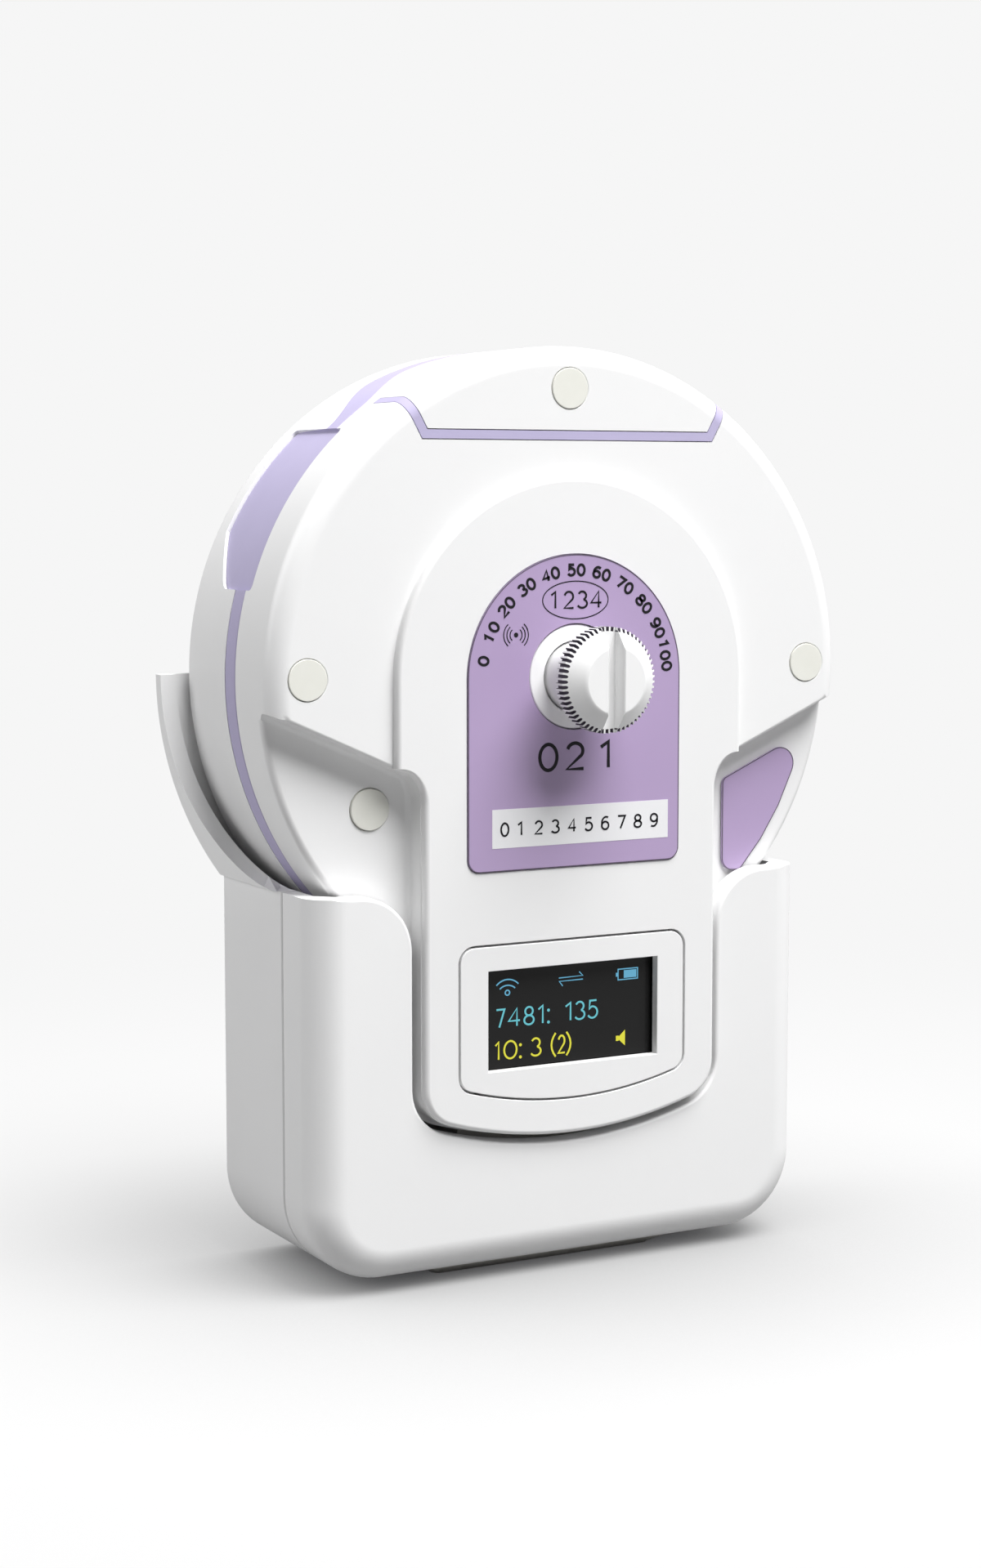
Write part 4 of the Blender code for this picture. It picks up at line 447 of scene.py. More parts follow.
def label_outline(growth=0.0):
    low = [(-LABEL_HALF, LABEL_LOW, LABEL_CORNER), (LABEL_HALF, LABEL_LOW, LABEL_CORNER)]
    arch = arc(0, 0, LABEL_HALF, 0, math.pi, ROUND // 2)
    return grown(rounded(low + [(x, z, 0) for x, z in arch]), growth)


def bezel_outline(growth=0.0):
    half, side = BEZEL_HALF, BEZEL_TOP - BEZEL_HALF / 2
    top = [(half, side, 0), (half, BEZEL_TOP, BEZEL_CORNER), (-half, BEZEL_TOP, BEZEL_CORNER)]
    top = rounded(top + [(-half, side, 0)])
    return grown(bottom_arc(BEZEL_ARC_R, half, BEZEL_CORNER) + top, growth)


def side_label_outline(growth=0.0):
    """The label in the right recess: three straight sides and one along the rim."""
    slope = math.tan(RECESS_TILT)
    base = RECESS_CORNER[1] - RECESS_CORNER[0] * slope - SIDE_LABEL_INSET / math.cos(RECESS_TILT)
    spread, half_b = 1 + slope * slope, slope * base
    far_x = (math.sqrt(half_b**2 - spread * (base**2 - SIDE_LABEL_R**2)) - half_b) / spread
    start = math.asin(SIDE_LABEL_LOW / SIDE_LABEL_R)
    end = math.asin((base + slope * far_x) / SIDE_LABEL_R)
    rim = arc(0, 0, SIDE_LABEL_R, start, end, SMALL_FILLET)
    low_left, low_right, top_right, top_left = SIDE_LABEL_CORNERS
    corners = [(SIDE_LABEL_X, SIDE_LABEL_LOW, low_left), (*rim[0], low_right)]
    corners += [(x, z, 0) for x, z in rim[1:-1]] + [(*rim[-1], top_right)]
    corners.append((SIDE_LABEL_X, base + slope * SIDE_LABEL_X, top_left))
    return grown(rounded(corners), growth)


def inlay_outline(growth=0.0):
    rise = DISC_R - INLAY_Z
    run = rise * math.tan(INLAY_LEAN)
    step = INLAY_LINE * math.tan((math.pi / 2 - INLAY_LEAN) / 2)
    side = INLAY_LINE / math.cos(INLAY_LEAN)
    half, high = INLAY_HALF, INLAY_Z + INLAY_LINE
    right = [(half, INLAY_Z), (half + run, DISC_R), (half + run - side, DISC_R), (half - step, high)]
    return grown(right + [(-x, z) for x, z in reversed(right)], growth)


def cradle_outline(growth=0.0):
    high = CRADLE_TOP + 2 * CRADLE_FILLET
    corners = [(-CRADLE_HALF, CRADLE_LOW, CRADLE_CORNER), (CRADLE_HALF, CRADLE_LOW, CRADLE_CORNER)]
    corners += [(CRADLE_HALF, high, 0), (-CRADLE_HALF, high, 0)]
    return grown(rounded(corners, 2 * CORNER), growth)


def slot_outline(growth=0.0):
    """What the cradle's front lacks: the neck's slot with its flared mouth, and all above the top."""
    half = NECK_HALF + SLOT_GAP
    far, high = CRADLE_HALF + 3 * OVERRUN, CRADLE_TOP + 3 * CRADLE_FILLET
    lower = bottom_arc(NECK_ARC_R + SLOT_GAP, half, NECK_CORNER_R + SLOT_GAP)
    top = CRADLE_TOP - SLOT_MOUTH
    right = arc(half + SLOT_MOUTH, top, SLOT_MOUTH, math.pi, math.pi / 2, 2 * CORNER)
    left = [(-x, z) for x, z in reversed(right)]
    outline = [(x, z + DISC_Z) for x, z in lower] + right
    outline += [(far, CRADLE_TOP), (far, high), (-far, high), (-far, CRADLE_TOP)] + left
    return grown(outline, growth)


# Meshes


def front_roll(y, radius, steps=FILLET):
    """Stations (y, growth) of a quarter round, from an edge at y back to full size."""
    turns = [math.pi / 2 * i / steps for i in range(steps + 1)]
    return [(y + radius * (1 - math.cos(t)), -radius * (1 - math.sin(t))) for t in turns]


def rear_roll(y, radius, steps=FILLET):
    """The same at the rear, from full size back to an edge at y."""
    return [(2 * y - level, growth) for level, growth in reversed(front_roll(y, radius, steps))]


def foot_flare(y_start, y_end, growth, steps=FILLET):
    """Stations of a hollow quarter round that spreads outward towards y_end."""
    turns = [math.pi / 2 * i / steps for i in range(steps + 1)]
    return [(y_start + (y_end - y_start) * math.sin(t), growth * (1 - math.cos(t))) for t in turns]


def add_loft(bm, rings, closed=False):
    made = [[bm.verts.new(point) for point in ring] for ring in rings]
    ahead = made[1:] + made[:1] if closed else made[1:]
    for first, second in zip(made, ahead):
        for i in range(len(first)):
            j = (i + 1) % len(first)
            bm.faces.new((first[i], first[j], second[j], second[i]))
    if not closed:
        bm.faces.new(list(reversed(made[0])))
        bm.faces.new(made[-1])


def sized(outline, growth):
    """An outline at a growth. It may be a list of points or a function of the growth."""
    return outline(growth) if callable(outline) else grown(outline, growth)


def plate(outline, stations):
    """A builder that carries an outline in the XZ plane through stations (y, growth)."""
    return lambda bm: add_loft(bm, [[(x, y, z) for x, z in sized(outline, g)] for y, g in stations])


def column(outline, stations):
    """A builder that carries an outline in the XY plane through stations (z, growth)."""
    return lambda bm: add_loft(bm, [[(x, y, z) for x, y in sized(outline, g)] for z, g in stations])


def turned(profile, centre=(0, 0), steps=SMALL_ROUND):
    """A builder that turns (radius, y) about Y. A y may be a function of the angle from the top."""

    def build(bm):
        rings = []
        for radius, y in profile:
            if radius == 0:
                rings.append([bm.verts.new((centre[0], y, centre[1]))])
                continue
            ring = []
            for i, (x, z) in enumerate(circle(radius, steps, centre)):
                angle = abs(math.remainder(2 * math.pi * i / steps - math.pi / 2, 2 * math.pi))
                ring.append(bm.verts.new((x, y(angle) if callable(y) else y, z)))
            rings.append(ring)
        loop = rings if len(rings[0]) == 1 else rings + rings[:1]
        for first, second in zip(loop, loop[1:]):
            for i in range(steps):
                j = (i + 1) % steps
                if len(first) == 1:
                    bm.faces.new((first[0], second[j], second[i]))
                elif len(second) == 1:
                    bm.faces.new((first[i], first[j], second[0]))
                else:
                    bm.faces.new((first[i], first[j], second[j], second[i]))

    return build


def rod(radius, y_start, y_end, centre=(0, 0), steps=SMALL_ROUND):
    return turned([(0, y_start), (radius, y_start), (radius, y_end), (0, y_end)], centre, steps)


def ribbon(path, width, y, thick=INK):
    """A builder of a flat stroke along a path. A path that ends where it starts has no ends."""
    closed = math.dist(path[0], path[-1]) < width / 10
    points = path[:-1] if closed else path
    rings = []
    for i, point in enumerate(points):
        sides = [(points[i - 1], point)] if closed or i > 0 else []
        if closed or i < len(points) - 1:
            sides.append((point, points[(i + 1) % len(points)]))
        nx = sum((b[1] - a[1]) / math.dist(a, b) for a, b in sides) / len(sides)
        nz = sum((a[0] - b[0]) / math.dist(a, b) for a, b in sides) / len(sides)
        reach = width / 2 / max(nx * nx + nz * nz, MITRE_LIMIT)
        right = (point[0] + nx * reach, point[1] + nz * reach)
        left = (point[0] - nx * reach, point[1] - nz * reach)
        rings.append([(x, level, z) for level in (y, y + thick) for x, z in (left, right)])
        rings[-1][2:] = reversed(rings[-1][2:])
    return lambda bm: add_loft(bm, rings, closed)


def together(*builders):
    def build(bm):
        for builder in builders:
            builder(bm)

    return build


def draft(name, builder):
    """A mesh object about the disc's centre or on the floor, before its cuts are made."""
    bm = bmesh.new()
    builder(bm)
    bmesh.ops.remove_doubles(bm, verts=bm.verts, dist=MM / 10000)
    bmesh.ops.recalc_face_normals(bm, faces=bm.faces)
    bmesh.ops.triangulate(bm, faces=bm.faces)
    mesh = bpy.data.meshes.new(name)
    bm.to_mesh(mesh)
    bm.free()
    obj = bpy.data.objects.new(name, mesh)
    bpy.context.scene.collection.objects.link(obj)
    return obj


def combined(operation, target, builders):
    for i, builder in enumerate(builders):
        tool = builder
        if callable(builder):
            tool = draft(f"{target.name}_{operation}_{len(target.modifiers)}_{i}", builder)
        modifier = target.modifiers.new(operation, "BOOLEAN")
        modifier.operation = operation
        modifier.solver = "EXACT"
        modifier.use_hole_tolerant = True
        modifier.object = tool
    return settled(target)


def settled(obj):
    """Applies the object's modifiers and deletes the shapes that they used."""
    graph = bpy.context.evaluated_depsgraph_get()
    mesh = bpy.data.meshes.new_from_object(obj.evaluated_get(graph))
    tools = {m.object for m in obj.modifiers if m.type == "BOOLEAN"}
    obj.modifiers.clear()
    obj.data = mesh
    for tool in tools:
        bpy.data.objects.remove(tool)
    return obj


def cut(target, *builders):
    return combined("DIFFERENCE", target, builders)


def join(target, *builders):
    return combined("UNION", target, builders)


def keep(target, *builders):
    return combined("INTERSECT", target, builders)


def finished(obj, body, finish, nodes=(), height=0.0):
    """Gives a draft its final normals, height, finish and place on a body."""
    bm = bmesh.new()
    bm.from_mesh(obj.data)
    bmesh.ops.remove_doubles(bm, verts=bm.verts, dist=MM / 1000)
    bmesh.ops.dissolve_degenerate(bm, edges=bm.edges, dist=MM / 1000)
    limits = {"angle_limit": FLAT, "delimit": {"NORMAL"}}
    bmesh.ops.dissolve_limit(bm, verts=bm.verts, edges=bm.edges, **limits)
    bm.to_mesh(obj.data)
    bm.free()
    obj.data.transform(Matrix.Translation((0, 0, height)))
    obj.data.shade_smooth()
    obj.data.set_sharp_from_angle(angle=SHARP)
    obj.data.materials.clear()
    obj.data.materials.append(finish)
    normals = obj.modifiers.new("face_weighted_normals", "WEIGHTED_NORMAL")
    normals.keep_sharp = True
    normals.weight = 80
    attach(obj, body)
    if nodes:
        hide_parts(*nodes)


def disc_profile(front_y, rear_y, front_fillet, rear_fillet, radius=DISC_R):
    profile = [(0, front_y)] + [(radius + g, y) for y, g in front_roll(front_y, front_fillet)]
    if rear_fillet:
        profile += [(radius + g, y) for y, g in rear_roll(rear_y, rear_fillet)]
    else:
        profile.append((radius, rear_y))
    return profile + [(0, rear_y)]


# Materials


def linear(colour):
    """An sRGB hex colour as linear red, green, blue and alpha."""
    shares = [int(colour[i : i + 2], 16) / 255 for i in (1, 3, 5)]
    return (*[s / 12.92 if s <= 0.04045 else ((s + 0.055) / 1.055) ** 2.4 for s in shares], 1.0)


def add_node(tree, kind, inputs, **settings):
    """One node. An input is a value, or a socket that is linked to it."""
    made = tree.nodes.new(kind)
    for name, value in settings.items():
        setattr(made, name, value)
    for name, value in inputs.items():
        if isinstance(value, bpy.types.NodeSocket):
            tree.links.new(value, made.inputs[name])
        else:
            made.inputs[name].default_value = value
    return made


def surface(name, colour, roughness, **inputs):
    """A Principled material. Returns it with its node tree and its shader."""
    made = bpy.data.materials.new(name)
    made.use_nodes = True
    shader = made.node_tree.nodes["Principled BSDF"]
    shader.inputs["Base Color"].default_value = linear(colour)
    shader.inputs["Roughness"].default_value = roughness
    for key, value in inputs.items():
        shader.inputs[key.replace("_", " ")].default_value = value
    made.diffuse_color = linear(colour)
    return made, made.node_tree, shader


def grain(tree, shader, size_mm, depth_mm, stretch=(1, 1, 1)):
    """Bump with a grain of a real size."""
    place = add_node(tree, "ShaderNodeTexCoord", {})
    spread = {"Vector": place.outputs["Object"], "Scale": stretch}
    mapped = add_node(tree, "ShaderNodeMapping", spread)
    pattern = {"Vector": mapped.outputs["Vector"], "Scale": 1 / (size_mm * MM), "Detail": 2.0}
    noise = add_node(tree, "ShaderNodeTexNoise", pattern)
    relief = {"Height": noise.outputs["Fac"], "Distance": depth_mm * MM, "Strength": 1.0}
    bump = add_node(tree, "ShaderNodeBump", relief)
    tree.links.new(bump.outputs["Normal"], shader.inputs["Normal"])


def blotches(tree, shader, size_mm, first, second, rough_low, rough_high):
    """Slow changes of colour and gloss over the surface, as handling and moulding leave them."""
    place = add_node(tree, "ShaderNodeTexCoord", {})
    pattern = {"Vector": place.outputs["Object"], "Scale": 1 / (size_mm * MM), "Detail": 3.0}
    noise = add_node(tree, "ShaderNodeTexNoise", pattern)
    share = {"Factor": noise.outputs["Fac"], "A": linear(first), "B": linear(second)}
    mix = add_node(tree, "ShaderNodeMix", share, data_type="RGBA")
    tree.links.new(mix.outputs["Result"], shader.inputs["Base Color"])
    gloss = {"Value": noise.outputs["Fac"], "To Min": rough_low, "To Max": rough_high}
    rough = add_node(tree, "ShaderNodeMapRange", gloss)
    tree.links.new(rough.outputs["Result"], shader.inputs["Roughness"])


def coated(name, colour, roughness, fine, blotch=(), **inputs):
    """A material with a fine grain and, where given, blotches."""
    made, tree, shader = surface(name, colour, roughness, **inputs)
    if blotch:
        blotches(tree, shader, *blotch)
    grain(tree, shader, *fine)
    return made


def moulded_abs():
    """ABS from a spark-eroded mould: white, satin, with a fine even grain that softens highlights.
    The real grain is about 0.05 mm and is drawn at 0.2 mm so that it shows."""
    blotch = (24, "#F3F3F3", "#EFEFEF", 0.36, 0.46)
    return coated("moulded_abs_white", "#F2F2F2", 0.42, (0.2, 0.004), blotch, IOR=1.54)


def polished_abs():
    """ABS from a polished mould, for the knob: the same white with a tighter highlight."""
    blotch = (9, "#F5F5F5", "#F1F1F1", 0.22, 0.3)
    return coated("polished_abs_white", "#F4F4F4", 0.25, (0.5, 0.002), blotch, IOR=1.54)


def soft_silicone():
    """Silicone rubber moulded over the rim: lavender, matt, with a faint bloom that catches dust."""
    blotch = (7, "#BFB8D8", "#B7B0D0", 0.55, 0.68)
    return coated("silicone_lavender", "#BDB6D6", 0.62, (0.25, 0.006), blotch, IOR=1.42)


def printed_film(name, first, second):
    """Polycarbonate label film, printed on its back and finely matted on its front."""
    return coated(name, first, 0.38, (0.22, 0.003), (12, first, second, 0.34, 0.42), IOR=1.585)


def printing_ink(name, colour):
    """Screen-printed ink, and the painted shade along the labels' edges: flat, a little duller than
    the film.
    """
    return coated(name, colour, 0.7, (0.12, 0.002), Specular_IOR_Level=0.2)


def knob_core():
    """Painted shade in the knob's knurl: a dark grey laid on the floors and walls of the gaps between
    its teeth.
    """
    return coated("abs_core_grey", "#5A5560", 0.6, (0.2, 0.004), IOR=1.54)


def plug_elastomer():
    """Thermoplastic elastomer plugs: warm white and matt beside the shell."""
    blotch = (3, "#EBEBE4", "#E3E3DA", 0.55, 0.66)
    return coated("elastomer_warm_white", "#E9E9E1", 0.6, (0.15, 0.005), blotch, IOR=1.5)


def foot_rubber():
    """Grey rubber foot with a pebbled mould texture."""
    blotch = (5, "#D2D0CA", "#C6C4BE", 0.7, 0.82)
    return coated("rubber_grey", "#CFCDC7", 0.75, (0.4, 0.03), blotch, IOR=1.52)


def display_cover(name, colour):
    """Black display panel under a clear cover with an anti-reflection coat: dark and smooth.
    The coat lowers its index, so that it mirrors little of the bright room."""
    return coated(name, colour, 0.22, (2.5, 0.0008), IOR=1.25)


def lit_pixels(name, colour):
    """Pixels of a self-lit display: dark in themselves, they shine with their own colour."""
    shine = {"Emission_Color": linear(colour), "Emission_Strength": 1.0}
    return surface(name, "#101010", 0.4, **shine)[0]


def plated_steel():
    """Zinc-plated steel screws: bright and slightly blue, with turning marks."""
    return coated("plated_steel", "#C2C5C9", 0.3, (0.1, 0.003, (1, 6, 1)), Metallic=1.0)


def gold_contact():
    """Gold-flashed brass contacts: warm, smooth metal."""
    return coated("gold_flashed_brass", "#E8C374", 0.24, (0.3, 0.001), Metallic=1.0)


def solder_resist():
    """Glass-fibre board under green solder resist, with the weave just showing."""
    return coated("circuit_board_green", "#1C5A37", 0.35, (0.8, 0.01), IOR=1.5)


def acoustic_skin():
    """The moulded face that couples sound to the skin: pale grey polyurethane, very smooth."""
    blotch = (18, "#DCDEDF", "#D5D7D9", 0.26, 0.34)
    return coated("polyurethane_pale_grey", "#DADCDD", 0.3, (1.2, 0.002), blotch, IOR=1.5)


def inner_finish(name, colour, roughness, metallic, size_mm):
    """A finish for a piece that is sealed inside the transducer."""
    return coated(name, colour, roughness, (size_mm, 0.01), Metallic=metallic)


# Transducer


def band_shifts(angle):
    front = BAND_TOP_SHIFT * (1 - smooth_share(angle, *BAND_FRONT_TURN))
    rear = BAND_TOP_SHIFT + BAND_TOP_WIDTH - BAND_WIDTH
    return front, rear * (1 - smooth_share(angle, *BAND_REAR_TURN))


def band_edges(angle):
    """Front y, rear y and sink of the band at an angle from the top of the disc."""
    front_shift, rear_shift = band_shifts(angle)
    front, rear = BAND_Y + front_shift, BAND_Y + BAND_WIDTH + rear_shift
    top, knee, foot = PAD_ANGLES
    if not top < angle < foot:
        return front, rear, 0
    near_end = min(angle - top, foot - angle) / PAD_CORNER
    chamfer = PAD_CHAMFER * (1 - math.sqrt(max(1 - (1 - min(near_end, 1)) ** 2, 0)))
    share = max(angle - knee, 0) / (foot - knee)
    rearward = PAD_REARWARD + (PAD_FOOT_REARWARD - PAD_REARWARD) * share
    return front - PAD_FORWARD + chamfer, rear + rearward - chamfer, PAD_SINK


def band_angles():
    """Angles along the band, close together where the grip pads begin and end."""
    hair = PAD_CORNER / 60
    marks = {BAND_END * i / (ROUND // 2) for i in range(ROUND // 2 + 1)}
    for edge, inward in ((PAD_ANGLES[0], 1), (PAD_ANGLES[2], -1)):
        marks |= {edge, edge + hair * inward}
        marks |= {edge + PAD_CORNER * inward * i / CORNER for i in range(1, CORNER + 1)}
    half = sorted(marks | {PAD_ANGLES[1]})
    kept = [a for i, a in enumerate(half) if i == 0 or a - half[i - 1] > hair / 2]
    return [-a for a in reversed(kept[1:])] + kept


def band(inner, outer, gap, edge):
    """The band's section swept round the disc, with bevelled outer edges."""

    def build(bm):
        rings, angles = [], band_angles()
        for i, angle in enumerate(angles):
            front, rear, sink = band_edges(abs(angle))
            top = outer - (sink if edge else 0)
            if i in (0, len(angles) - 1):
                angle += math.copysign(gap / DISC_R, angle)
            section = [(inner, front - gap), (top - edge, front - gap)]
            if edge:
                section += [(top, front + edge), (top, rear - edge)]
            section += [(top - edge, rear + gap), (inner, rear + gap)]
            rings.append([(r * math.sin(angle), y, r * math.cos(angle)) for r, y in section])
        add_loft(bm, rings)

    return build


def groove():
    return band(DISC_R - BAND_THICK - GAP, DISC_R + OVERRUN, TRIM_GAP, 0)


def seam_y(angle):
    return SEAM_Y + sum(band_shifts(angle)) / 2


def inlay_skin(name, gap):
    """The inlay's outline taken through the disc's outer skin."""
    thick = INLAY_THICK + gap
    over = OVERRUN if gap else 0
    blank = [(FRONT_Y - 2 * OVERRUN, gap), (FRONT_Y + INLAY_REACH + gap, gap)]
    skin = draft(name, plate(inlay_outline, blank))
    outside = disc_profile(FRONT_Y - over, BAND_Y, FRONT_FILLET, 0, DISC_R + over)
    inside = disc_profile(FRONT_Y + thick, BAND_Y + OVERRUN, FRONT_FILLET, 0, DISC_R - thick)
    keep(skin, turned(outside, steps=ROUND))
    return cut(skin, turned(inside, steps=ROUND))


def angle_from_top(x, z):
    return math.acos(z / math.hypot(x, z))


def front_posts():
    posts = [rod(BOSS_R, NECK_Y + WALL / 2, knob_boss_end())]
    for x, z, face_y in SCREWS:
        end = seam_y(angle_from_top(x, z)) - SEAM_GAP
        posts.append(rod(POST_R, face_y + WALL / 2, end, (x, z)))
    return together(*posts)


def knob_boss_end():
    return NECK_Y + RING_THICK + INSERT_LENGTH + 2 * GAP + WALL / 2


def screw_holes():
    """The plugs' seats with broken edges, then the screws' heads and shanks behind them."""
    seats, holes = [], []
    for x, z, face_y, radius in PLUGS.values():
        mouth, floor = radius + PLUG_GAP, face_y + PLUG_THICK + GAP
        profile = [(0, face_y - OVERRUN), (mouth + OVERRUN + PLUG_EDGE, face_y - OVERRUN)]
        profile += [(mouth + PLUG_EDGE / 2, face_y + PLUG_EDGE / 2), (mouth, face_y + PLUG_EDGE)]
        seats.append(turned(profile + [(mouth, floor), (0, floor)], (x, z)))
    for x, z, face_y in SCREWS:
        head, shank = CASE_SCREW_R + GAP, CASE_SHANK_R + GAP
        plugged = (x, z, face_y) != SCREWS[-1]
        start = face_y + (PLUG_THICK if plugged else -OVERRUN)
        seat, end = face_y + CASE_SEAT, seam_y(angle_from_top(x, z)) + OVERRUN
        profile = [(0, start), (head, start), (head, seat), (shank, seat), (shank, end), (0, end)]
        holes.append(turned(profile, (x, z)))
    return [together(*seats), together(*holes)]


def charge_pad_seats():
    seats = []
    for x in CHARGE_PAD_X:
        z = -math.sqrt(NECK_ARC_R**2 - x * x)
        ring = circle(CHARGE_PAD_R + GAP, SMALL_ROUND // 2, (x, CHARGE_PAD_Y))
        seats.append(column(ring, [(z - OVERRUN, 0), (z + CHARGE_PAD_THICK + GAP, 0)]))
    return together(*seats)


def front_housing(finish):
    floor_y = RECESS_Y + WALL
    cup = disc_profile(RECESS_Y, SEAM_Y, RECESS_FILLET, 0)[:-2]
    cup += [(radius, lambda a: seam_y(a) - SEAM_GAP / 2) for radius in (DISC_R, CAVITY_R)]
    cup += [(CAVITY_R, floor_y), (0, floor_y)]
    shell = draft("front_housing", turned(cup, steps=ROUND))
    cap = disc_profile(FRONT_Y, RECESS_Y + WALL / 2, FRONT_FILLET, 0)
    face = draft("face", turned(cap, steps=ROUND))
    edges = [(FRONT_Y - OVERRUN, -RECESS_ROLL)]
    edges += front_roll(FRONT_Y, RECESS_ROLL)
    edges += foot_flare(RECESS_Y - RECESS_FOOT, RECESS_Y, RECESS_FOOT)
    keep(face, plate(above_recess_outline, edges + [(floor_y, RECESS_FOOT)]))
    neck_edges = front_roll(NECK_Y, NECK_EDGE)
    neck_edges += foot_flare(FRONT_Y - NECK_FOOT, FRONT_Y, NECK_FOOT / 2)[1:]
    neck_edges += foot_flare(RECESS_Y - RECESS_FOOT, RECESS_Y, RECESS_FOOT)
    neck = draft("neck", plate(neck_outline, neck_edges + [(SEAM_Y - SEAM_GAP / 2, 0)]))
    cut(neck, rod(CAVITY_R + RIM_WALL / 2, RECESS_Y + WALL / 2, REAR_Y, steps=ROUND))
    join(shell, face, neck)
    cut(shell, plate(neck_outline, [(NECK_Y + WALL, -WALL), (SEAM_Y + OVERRUN, -WALL)]))
    join(shell, front_posts())
    cut(shell, groove(), inlay_skin("inlay_groove", TRIM_GAP))
    glass = rectangle(-GLASS_HALF, GLASS_HALF, GLASS_TOP - GLASS_HEIGHT, GLASS_TOP)
    ring_floor = NECK_Y + RING_THICK + GAP
    bore_end = ring_floor + INSERT_LENGTH + GAP
    hole = RING_R + TRIM_GAP
    knob_hole = [(0, NECK_Y - OVERRUN), (hole, NECK_Y - OVERRUN), (hole, ring_floor)]
    knob_hole += [(INSERT_R + GAP, ring_floor), (INSERT_R + GAP, bore_end), (0, bore_end)]
    label_floor = NECK_Y + LABEL_THICK + GAP / 2
    bezel_floor = NECK_Y + BEZEL_THICK + GAP
    rim = BEZEL_GROOVE + BEZEL_EDGE / 2
    cut(
        shell,
        *screw_holes(),
        charge_pad_seats(),
        plate(label_outline, [(NECK_Y - OVERRUN, TRIM_GAP), (label_floor, TRIM_GAP)]),
        plate(
            bezel_outline,
            [(NECK_Y - OVERRUN, rim), (NECK_Y, rim), (NECK_Y + BEZEL_EDGE / 2, BEZEL_GROOVE)]
            + [(bezel_floor, BEZEL_GROOVE)],
        ),
        plate(glass, [(NECK_Y + BEZEL_THICK, GAP), (NECK_Y + 2 * WALL, GAP)]),
        turned(knob_hole),
    )
    finished(shell, "transducer", finish, ["front_shell"], DISC_Z)


def rear_posts():
    """Screw posts that widen into webs out to the rim wall. Those over the carrier stop short."""
    posts = []
    for x, z, _ in SCREWS:
        reach = math.hypot(x, z)
        clear = reach - REAR_POST_R > CARRIER_R + GAP
        corners = arc(reach, 0, REAR_POST_R, math.pi / 2, math.pi * 3 / 2, 2 * CORNER)
        end = CAVITY_R + RIM_WALL / 5
        corners += [(end, -REAR_POST_R), (end, REAR_POST_R)]
        outline = [(x / reach * a - z / reach * b, z / reach * a + x / reach * b) for a, b in corners]
        start = seam_y(angle_from_top(x, z)) + SEAM_GAP
        stop = ACOUSTIC_Y - 2 * GAP if clear else CARRIER_Y - GAP
        posts.append(plate(outline, [(start, 0), (stop, 0)]))
    return together(*posts)


def pilots():
    holes = []
    for x, z, _ in SCREWS:
        start = seam_y(angle_from_top(x, z)) + SEAM_GAP / 2
        holes.append(rod(PILOT_R, start, start + SCREW_BITE + GAP, (x, z)))
    return holes


def rear_housing(finish):
    ledge_y = ACOUSTIC_Y - GAP
    seat = ACOUSTIC_R + GAP
    outside = disc_profile(SEAM_Y, REAR_Y, 0, REAR_FILLET)[-FILLET - 2 : -1]
    ring = [(radius, lambda a: seam_y(a) + SEAM_GAP / 2) for radius in (CAVITY_R, DISC_R)]
    ring += outside + [(seat, REAR_Y), (seat, ledge_y), (CAVITY_R, ledge_y)]
    shell = draft("rear_housing", turned(ring, steps=ROUND))
    edge = rear_roll(NECK_REAR_Y, NECK_REAR_EDGE)
    neck = draft("neck_back", plate(neck_outline, [(SEAM_Y + SEAM_GAP / 2, 0)] + edge))
    cut(neck, rod(CAVITY_R + RIM_WALL / 2, SEAM_Y - OVERRUN, REAR_Y, steps=ROUND))
    join(shell, neck)
    cut(
        shell,
        plate(neck_outline, [(SEAM_Y - OVERRUN, -WALL), (NECK_REAR_Y - WALL, -WALL)]),
        groove(),
    )
    join(shell, rear_posts())
    cut(shell, together(*pilots()))
    finished(shell, "transducer", finish, ["rear_shell"], DISC_Z)


def rim_band(finish):
    trim = draft("rim_band_trim", band(DISC_R - BAND_THICK, DISC_R, 0, BAND_BEVEL))
    finished(trim, "transducer", finish, ["rim_band"], DISC_Z)
    inlay = inlay_skin("cap_inlay", 0)
    finished(inlay, "transducer", finish, ["top_cap_inlay"], DISC_Z)


def plugs(finish):
    for name, (x, z, face_y, radius) in PLUGS.items():
        start = face_y - PLUG_PROUD[face_y]
        profile = [(0, start)]
        profile += [(radius + g, y) for y, g in front_roll(start, PLUG_EDGE, SMALL_FILLET)]
        profile += [(radius, face_y + PLUG_THICK), (0, face_y + PLUG_THICK)]
        plug = draft(f"plug_{name}", turned(profile, (x, z)))
        finished(plug, "transducer", finish, [f"screw_plug_{name}"], DISC_Z)


def flat_piece(name, outline, y, thick, finish, nodes=()):
    piece = draft(name, plate(outline, [(y, 0), (y + thick, 0)]))
    finished(piece, "transducer", finish, nodes, DISC_Z)


def bow(x, z, reach_x, reach_z, start, end, steps=12):
    """Points along part of an ellipse. Its ends are in degrees."""
    turns = [math.radians(start + (end - start) * i / steps) for i in range(steps + 1)]
    return [(x + reach_x * math.cos(t), z + reach_z * math.sin(t)) for t in turns]


